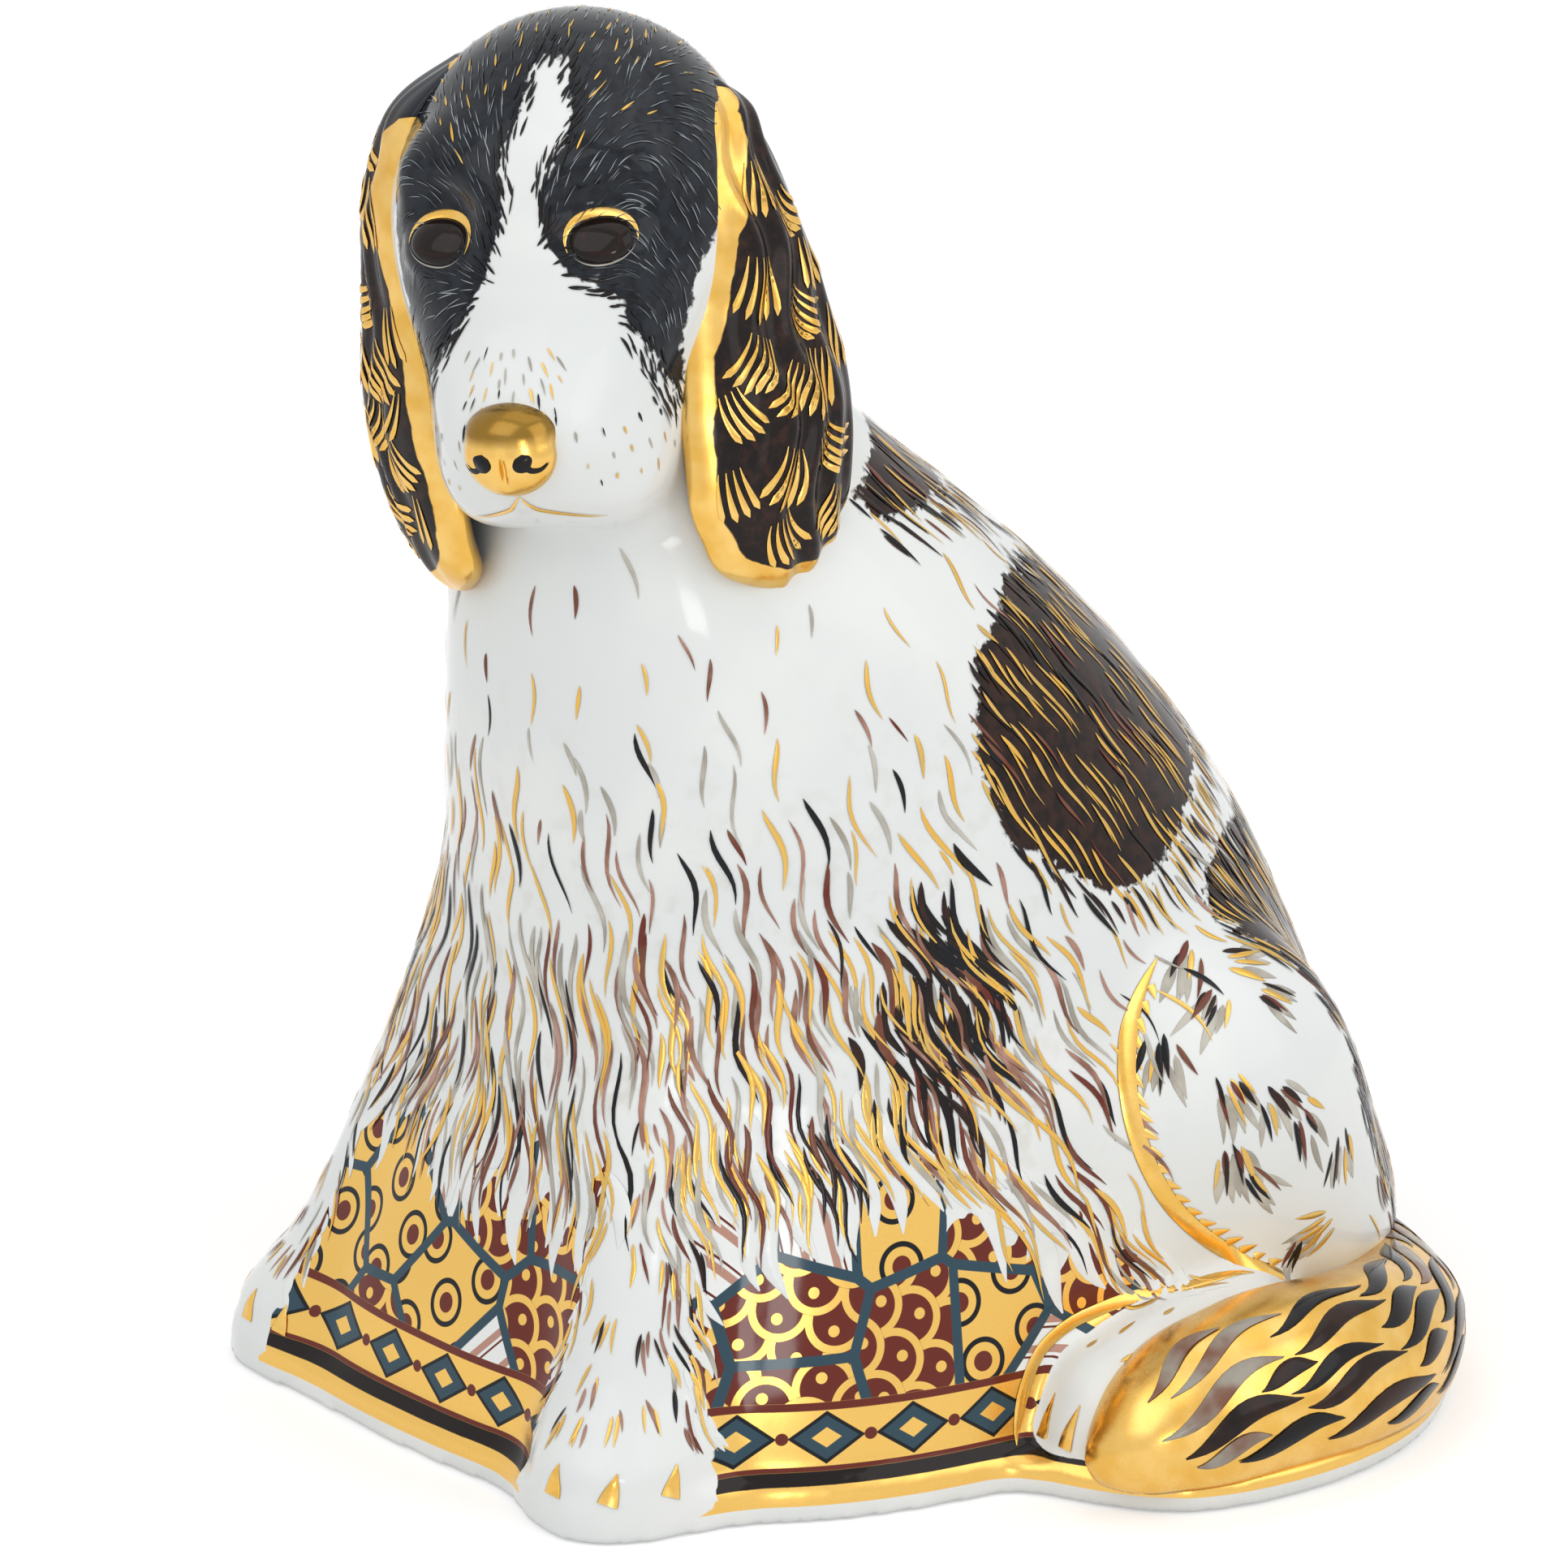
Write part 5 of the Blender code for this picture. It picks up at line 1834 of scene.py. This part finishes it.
class SPANIEL_OT_coat(bpy.types.Operator):
    """Paint the coat: chest hair, fringe, flank patches and small tufts on the legs and haunches"""
    bl_idname = "spaniel.coat"
    bl_label = "Coat strokes"

    def execute(self, context):
        points, _ = skin_points()
        strokes = Strokes(11)
        z, turn = points[:, 2], np.abs(bearing(points))
        below, fore, hind = cloth_edges(points)
        clear = np.minimum(fore, hind)
        patch, mask = flank_patch(points), face_mask(points)
        bare = (patch < -0.5) & (mask < -1)
        white = {"white": 1}

        # Each layer: where, number, gap, heading, lengths, half widths, colours, sway, unusual lift
        # Chest, thinner over the forelegs
        column = np.clip(2 - 1.25 * forelegs(points), 0, 1) * np.interp(z, (36, 42), (1, 0))
        wide = np.interp(turn, (0, 84, 100), (1, 1, 0)) * bare * (below < 1) * (hind > 5)
        wide = wide * (1 - 0.92 * column)
        for heights, shares, count, gap, length, width, colours in CHEST_ROWS:
            weight = np.interp(z, heights, shares) * wide
            strokes.scatter(weight, count, gap, falling, length, width, colours, 0.34)
        # Dark lock beside the left foreleg
        aside, above = (bearing(points) - LOCK_BEARING) / LOCK_SPREAD[0], (z - LOCK_HEIGHT) / LOCK_SPREAD[1]
        lock = np.exp(-aside**2 - above**2) * bare
        strokes.scatter(lock, 84, 0.9, falling, (5, 9), (0.24, 0.48), LOCK_MIX, 0.42)
        strokes.scatter(lock, 24, 1.8, falling, (5, 9), (0.13, 0.24), {"fine": 4, "pink": 1}, 0.42, OVER_LIFT)
        # Fringe over the cloth
        edge = between(below, -4, 3.5, 2) * (clear > 0.8) * (turn < 112)
        strokes.scatter(edge, 130, 1.7, falling, (6, 10), (0.75, 1.25), white, 0.34, UNDER_LIFT)
        strokes.scatter(edge, 210, 1.2, falling, (4.5, 9), (0.15, 0.3), FRINGE_MIX, 0.34)
        # Feathering beside the forelegs
        shin = between(fore, -0.3, 0.7, 0.3) * between(z, 8, 30, 3) * (below > -2)
        strokes.scatter(shin, 70, 1.4, outward, (2, 4.2), (0.35, 0.6), white, 0.3, UNDER_LIFT)
        shin = between(fore, -0.7, 0.5, 0.3) * between(z, 11, 34, 3)
        strokes.scatter(shin, 90, 1.2, outward, (3, 5.5), (0.13, 0.25), FRINGE_MIX, 0.3)
        # Flank patches and their edges
        inside = between(patch, -0.8, 20, 0.6)
        strokes.scatter(inside, 900, 0.8, brushed_back, (3.5, 8), (0.11, 0.23), PATCH_MIX, 0.14)
        ends = between(patch, -1.2, 0.6, 0.5)
        strokes.scatter(ends, 520, 0.65, brushed_back, (2.5, 6), (0.12, 0.28), PATCH_EDGE_MIX, 0.14)
        # Thin tufts over the rest of the white coat
        rest = bare * (turn > 95) * between(z, 12, 92, 4) * (clear > 0)
        strokes.scatter(rest, 260, 3.0, brushed_back, (3, 7), (0.12, 0.3), COAT_MIX, 0.35)
        # Tufts on the forelegs, and on the haunches over a grey wash
        lay_tufts(strokes, LEG_TUFTS, 6, 1.2, (2.0, 3.4), (0.13, 0.22), LEG_MIX, LIFT)
        lay_tufts(strokes, HAUNCH_TUFTS, 4, 0.4, (2.8, 4.6), (0.3, 0.55), {"grey": 1}, WASH_LIFT)
        lay_tufts(strokes, HAUNCH_TUFTS, 5, 1.5, (2.4, 4.2), (0.2, 0.36), HAUNCH_MIX, LIFT)
        strokes.lay("coat_strokes", "white_china")
        return {"FINISHED"}


class SPANIEL_OT_gilding(bpy.types.Operator):
    """Gild the haunch lines, the hind paws and the claws"""
    bl_idname = "spaniel.gilding"
    bl_label = "Gilding"

    def execute(self, context):
        strokes = Strokes(23)
        rng = strokes.rng
        gold = {"gold": 1}
        for flip in (np.array, mirrored):
            line, out = drawn(china, flip(HAUNCH_LINE), 44)
            strokes.add(gold, line, out, HAUNCH_LINE_HALF, crescent_width)
            # Barbs along the rear of the line
            starts, lean = line[0, 3:-2:2], out[0, 3:-2:2]
            ahead = unit(line[0, 4:-1:2] - starts)
            rear = np.cross(lean, ahead)
            rear *= np.sign(rear[:, 1:2])
            lengths = rng.uniform(*BARB_LENGTH, len(starts))
            barbs = trace(china, starts + 0.6 * rear, toward(0.9 * ahead + 0.8 * rear), lengths, 0.1, rng)
            strokes.add(gold, *barbs, BARB_HALF, claw_width)
            strokes.add(gold, *drawn(china, flip(HIND_PAW_LINE), 30), HIND_PAW_LINE_HALF, band_width)
            toes = flip(HIND_TOES)
            toes = trace(china, toes, toward((0, 0.5, 1)), np.full(len(toes), TOE_LENGTH), 0.1, rng)
            strokes.add(gold, *toes, TOE_HALF, claw_width)
            flecks, _ = settled(china, flip(HIND_FLECKS), 3)
            lengths = rng.uniform(*FLECK_LENGTH, len(flecks))
            flecks = trace(china, flecks, toward((0, 1, 0.4)), lengths, 0.2, rng)
            strokes.add({"fine": 3, "umber": 1}, *flecks, FLECK_HALF, hair_width)
        claws = np.array((*LEFT_CLAWS, *RIGHT_CLAWS))
        claws = trace(china, claws, toward((0, 0.4, 1)), np.full(len(claws), CLAW_LENGTH), 0.0, rng)
        strokes.add(gold, *claws, CLAW_HALF, claw_width)
        strokes.lay("gilding", "white_china")
        return {"FINISHED"}


class SPANIEL_OT_face(bpy.types.Operator):
    """Paint the face: the scratched hair of the mask, mouth, nostrils and whisker dots"""
    bl_idname = "spaniel.face"
    bl_label = "Face strokes"

    def execute(self, context):
        points, _ = skin_points()
        q = to_head(points)
        near = (np.linalg.norm(q, axis=1) < 34) & (q[:, 2] > -30)
        mask = np.where(near, face_mask(points), -FAR)
        strokes = Strokes(5)

        # Scratched hair on the mask, its blue-grey partly a painted sheen; gold on the crown; the mask's
        # ragged edge
        inside = between(mask, 0.3, 20, 0.4)
        strokes.scatter(inside, 1500, 0.4, from_stop, (1.2, 2.6), (0.03, 0.05), {"silver": 1}, 0.2)
        crown = inside * between(q[:, 2], 7, 30, 5)
        strokes.scatter(crown, 90, 1.6, from_stop, (1.2, 2.8), (0.06, 0.12), {"fine": 1}, 0.25)
        edge = between(mask, -0.9, 0.5, 0.3) * (np.abs(q[:, 1]) < 11.5)
        strokes.scatter(edge, 380, 0.5, from_stop, (1.0, 2.8), (0.07, 0.18), {"black": 1}, 0.25)
        # Bridge of the nose
        bridge = near * (mask < -1) * (np.abs(q[:, 1]) < 4.2)
        bridge = bridge * between(q[:, 2], -13.5, -7.5, 1) * (q[:, 0] > 15)
        strokes.scatter(bridge, 34, 0.9, from_stop, (0.8, 1.8), (0.06, 0.13), BRIDGE_MIX, 0.1)
        steps = np.tile(np.arange(WHISKERS), len(WHISKER_ROWS))
        for side in (1, -1):
            hand = (1, side, 1)
            mouth, nostril = from_head(np.array(MOUTH) * hand), from_head(np.array(NOSTRIL) * hand)
            strokes.add({"gold": 1}, *drawn(head, mouth, 18), MOUTH_HALF, hair_width)
            strokes.add({"black": 1}, *drawn(nose, nostril, 18), NOSTRIL_HALF, comma_width)
            dots = np.repeat(WHISKER_ROWS, WHISKERS, axis=0) + np.outer(steps, WHISKER_STEP)
            dots = dots * hand + strokes.rng.normal(0, 0.3, dots.shape)
            starts, _ = settled(head, from_head(dots), 6)
            strokes.brush(starts, from_stop, (0.6, 1.4), (0.07, 0.15), WHISKER_MIX, 0.1)
        strokes.lay("face_strokes", "painted_head")
        return {"FINISHED"}


def stopper_material(name):
    """Plain pale stopper, a little duller than the glaze."""
    material, wire, shader = new_material(name)
    speck = wire.noise(1.5, 4.0)
    connect(
        shader, wire,
        Base_Color=speck.ramp(0.35, 0.7).over(colour("china_white"), colour("china_shade")),
        Roughness=0.42 + 0.12 * (speck - 0.5),
        Normal=glaze_bump(wire, 0.15),
    )
    return material


class SPANIEL_OT_stopper(bpy.types.Operator):
    """Finish the stopper under the foot"""
    bl_idname = "spaniel.stopper"
    bl_label = "Stopper"

    def execute(self, context):
        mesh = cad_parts["stopper"].data
        mesh.materials.clear()
        mesh.materials.append(once(stopper_material, "stopper_china"))
        return {"FINISHED"}


def seen_white(wire):
    """1 for rays that show the background itself: from the camera, or mirrored or passed on by the object."""
    path = wire.tree.nodes.new("ShaderNodeLightPath")
    rays = ("Is Camera Ray", "Is Glossy Ray", "Is Transmission Ray")
    camera, glossy, through = (Wire(wire.tree, path.outputs[name]) for name in rays)
    return camera.most(glossy).most(through)


def floor_material(settings):
    """Pale matt floor, lifted towards white where it is seen, and clear from below."""
    material = bpy.data.materials.new("pale_floor")
    material.use_nodes = True
    tree = material.node_tree
    wire = Wire(tree)
    shader = tree.nodes["Principled BSDF"]
    colour_seen = (*settings.floor_colour, 1)
    connect(shader, wire, Base_Color=colour_seen, Roughness=FLOOR_ROUGHNESS, Specular_IOR_Level=0.0)
    strength = seen_white(wire) * settings.floor_lift
    glow = wire.node("Emission", None, {"Color": (1, 1, 1, 1), "Strength": strength})
    lit = wire.node("AddShader", None, {0: Wire(tree, shader.outputs[0]), 1: glow})
    under = Wire(tree, tree.nodes.new("ShaderNodeNewGeometry").outputs["Backfacing"])
    mixed = wire.node("MixShader", None, {0: under, 1: lit, 2: wire.node("BsdfTransparent")})
    tree.links.new(mixed.socket, tree.nodes["Material Output"].inputs["Surface"])
    return material


def stand(name, data, azimuth, elevation, distance):
    """A light or camera that looks at the figure from a bearing, an elevation and a distance."""
    back = Vector((sin(azimuth) * cos(elevation), -cos(azimuth) * cos(elevation), sin(elevation)))
    piece = bpy.data.objects.new(name, data)
    piece.location = Vector(in_frame(VIEW_TARGET)) + back * distance * MM
    piece.rotation_euler = (-back).to_track_quat("-Z", "Y").to_euler()
    bpy.context.scene.collection.objects.link(piece)
    return piece


class SPANIEL_OT_stage(bpy.types.Operator):
    """Set the pale floor, the soft lights and the camera"""
    bl_idname = "spaniel.stage"
    bl_label = "Stage"

    def execute(self, context):
        scene = context.scene
        settings = scene.spaniel_stage
        scene.view_settings.view_transform = "Standard"

        world = scene.world or bpy.data.worlds.new("studio")
        scene.world = world
        world.use_nodes = True
        tree = world.node_tree
        background = tree.nodes["Background"]
        background.inputs["Color"].default_value = (1, 1, 1, 1)
        shown = seen_white(Wire(tree))
        strength = shown * (1 - settings.ambient) + settings.ambient
        tree.links.new(strength.socket, background.inputs["Strength"])

        half, level = settings.floor_size / 2, -settings.floor_drop
        mesh = bpy.data.meshes.new("floor")
        corners = [(-half, -half, level), (half, -half, level), (half, half, level), (-half, half, level)]
        mesh.from_pydata(corners, [], [(0, 1, 2, 3)])
        mesh.materials.append(floor_material(settings))
        floor = bpy.data.objects.new("floor", mesh)
        scene.collection.objects.link(floor)

        for name, azimuth, elevation, size in SOFTBOXES:
            lamp = bpy.data.lights.new(name + "_softbox", "AREA")
            lamp.size = size
            lamp.energy = getattr(settings, name + "_power")
            stand(lamp.name, lamp, radians(azimuth), radians(elevation), LIGHT_DISTANCE)

        lens = bpy.data.cameras.new("camera")
        lens.sensor_width = SENSOR
        lens.lens = SENSOR * PIXELS_PER_MM * VIEW_DISTANCE / PHOTO_SIZE
        lens.clip_start, lens.clip_end = VIEW_CLIP
        scene.camera = stand("camera", lens, VIEW_AZIMUTH, VIEW_ELEVATION, VIEW_DISTANCE)
        return {"FINISHED"}


class SpanielSizes(bpy.types.PropertyGroup):
    """Sizes that a user may change."""
    skin_cell: FloatProperty(
        name="Skin cell", description="Spacing of the points over the china skin",
        default=0.8 * MM, min=0.4 * MM, precision=5, unit="LENGTH",
    )
    film: FloatProperty(
        name="Paint film", description="Thickness of a brush stroke as a share of its half width",
        default=0.07, subtype="FACTOR",
    )


def swatch(name, description, default):
    """A colour property."""
    return FloatVectorProperty(
        name=name, description=description, default=default, size=3, subtype="COLOR", min=0, max=1
    )


class SpanielPalette(bpy.types.PropertyGroup):
    """Colours of the glaze, the enamels and the gold."""
    china_white: swatch("China white", "Bone china under clear glaze", (0.80, 0.815, 0.80))
    china_shade: swatch("China shade", "Cooler places of the china", (0.74, 0.765, 0.755))
    gold_light: swatch("Light gold", "Burnished gold", (0.84, 0.55, 0.17))
    gold_deep: swatch("Deep gold", "Thicker, redder gold", (0.76, 0.44, 0.09))
    gold_hair: swatch("Hair gold", "Thin gold of the coat's strokes", (0.62, 0.42, 0.13))
    # Gold for a painted reflection of the dark above it, as on top of the nose
    gold_painted_reflection: swatch("Dusk gold", "Gold that mirrors the dark above it", (0.20, 0.11, 0.02))
    gold_cloth: swatch("Cloth gold", "Gold ground of the cloth", (0.80, 0.50, 0.13))
    cobalt_black: swatch("Blue-black", "Face mask and outlines", (0.006, 0.0075, 0.011))
    slate: swatch("Slate", "Thin places of the blue-black", (0.016, 0.020, 0.027))
    # Scratched hair of the mask: partly real hair, partly a painted sheen on the blue-black
    silver: swatch("Silver", "Hair scratched through the blue-black", (0.36, 0.40, 0.43))
    umber_black: swatch("Brown-black", "Darkest hair", (0.010, 0.006, 0.005))
    umber: swatch("Umber", "Dark brown hair", (0.034, 0.014, 0.009))
    chestnut: swatch("Chestnut", "Ring of the eye", (0.026, 0.009, 0.006))
    sienna: swatch("Sienna", "Warm brown hair", (0.19, 0.080, 0.048))
    iron_red: swatch("Iron red", "Red of the cloth", (0.14, 0.022, 0.013))
    pink: swatch("Pink-brown", "Pale warm strokes", (0.47, 0.26, 0.20))
    grey_wash: swatch("Grey wash", "Pale grey strokes", (0.56, 0.53, 0.46))
    grey_deep: swatch("Deep grey", "Darker grey strokes", (0.34, 0.31, 0.26))
    teal: swatch("Teal", "Seams and lozenges of the cloth", (0.030, 0.068, 0.095))


def amount(name, description, default, unit="NONE"):
    """A number property."""
    return FloatProperty(name=name, description=description, default=default, unit=unit)


class SpanielStage(bpy.types.PropertyGroup):
    """Light and floor."""
    ambient: amount("Ambient", "Strength of the soft light all round", 0.72)
    key_power: amount("Key", "Power of the softbox in front", 1.6, "POWER")
    front_power: amount("Front", "Power of the small softbox by the camera", 0.5, "POWER")
    fill_power: amount("Fill", "Power of the softbox at the side", 1.7, "POWER")
    top_power: amount("Top", "Power of the softbox above", 1.0, "POWER")
    floor_size: amount("Floor", "Side of the floor", 6.0, "LENGTH")
    floor_drop: amount("Floor drop", "Gap between the floor and the foot", 0.1 * MM, "LENGTH")
    floor_colour: swatch("Floor colour", "Pale floor", (0.82, 0.82, 0.82))
    floor_lift: amount("Floor lift", "How much the floor is lifted towards white", 0.3)


OPERATORS = (
    SPANIEL_OT_skin,
    SPANIEL_OT_ears,
    SPANIEL_OT_tail,
    SPANIEL_OT_eyes,
    SPANIEL_OT_nose,
    SPANIEL_OT_coat,
    SPANIEL_OT_gilding,
    SPANIEL_OT_face,
    SPANIEL_OT_stopper,
    SPANIEL_OT_stage,
)


class SPANIEL_PT_pieces(bpy.types.Panel):
    """The spaniel's pieces in the order they are made"""
    bl_idname = "SPANIEL_PT_pieces"
    bl_label = "China spaniel"
    bl_space_type = "VIEW_3D"
    bl_region_type = "UI"
    bl_category = "China"

    def draw(self, context):
        for operator in OPERATORS:
            self.layout.operator(operator.bl_idname)


GROUPS = {"spaniel_sizes": SpanielSizes, "spaniel_palette": SpanielPalette, "spaniel_stage": SpanielStage}


def register():
    for name, group in GROUPS.items():
        bpy.utils.register_class(group)
        setattr(bpy.types.Scene, name, PointerProperty(type=group))
    for made in (*OPERATORS, SPANIEL_PT_pieces):
        bpy.utils.register_class(made)


def unregister():
    for made in (SPANIEL_PT_pieces, *reversed(OPERATORS)):
        bpy.utils.unregister_class(made)
    for name, group in GROUPS.items():
        delattr(bpy.types.Scene, name)
        bpy.utils.unregister_class(group)


def main():
    register()
    for operator in OPERATORS:
        group, name = operator.bl_idname.split(".")
        getattr(getattr(bpy.ops, group), name)()


if __name__ == "__main__":
    main()
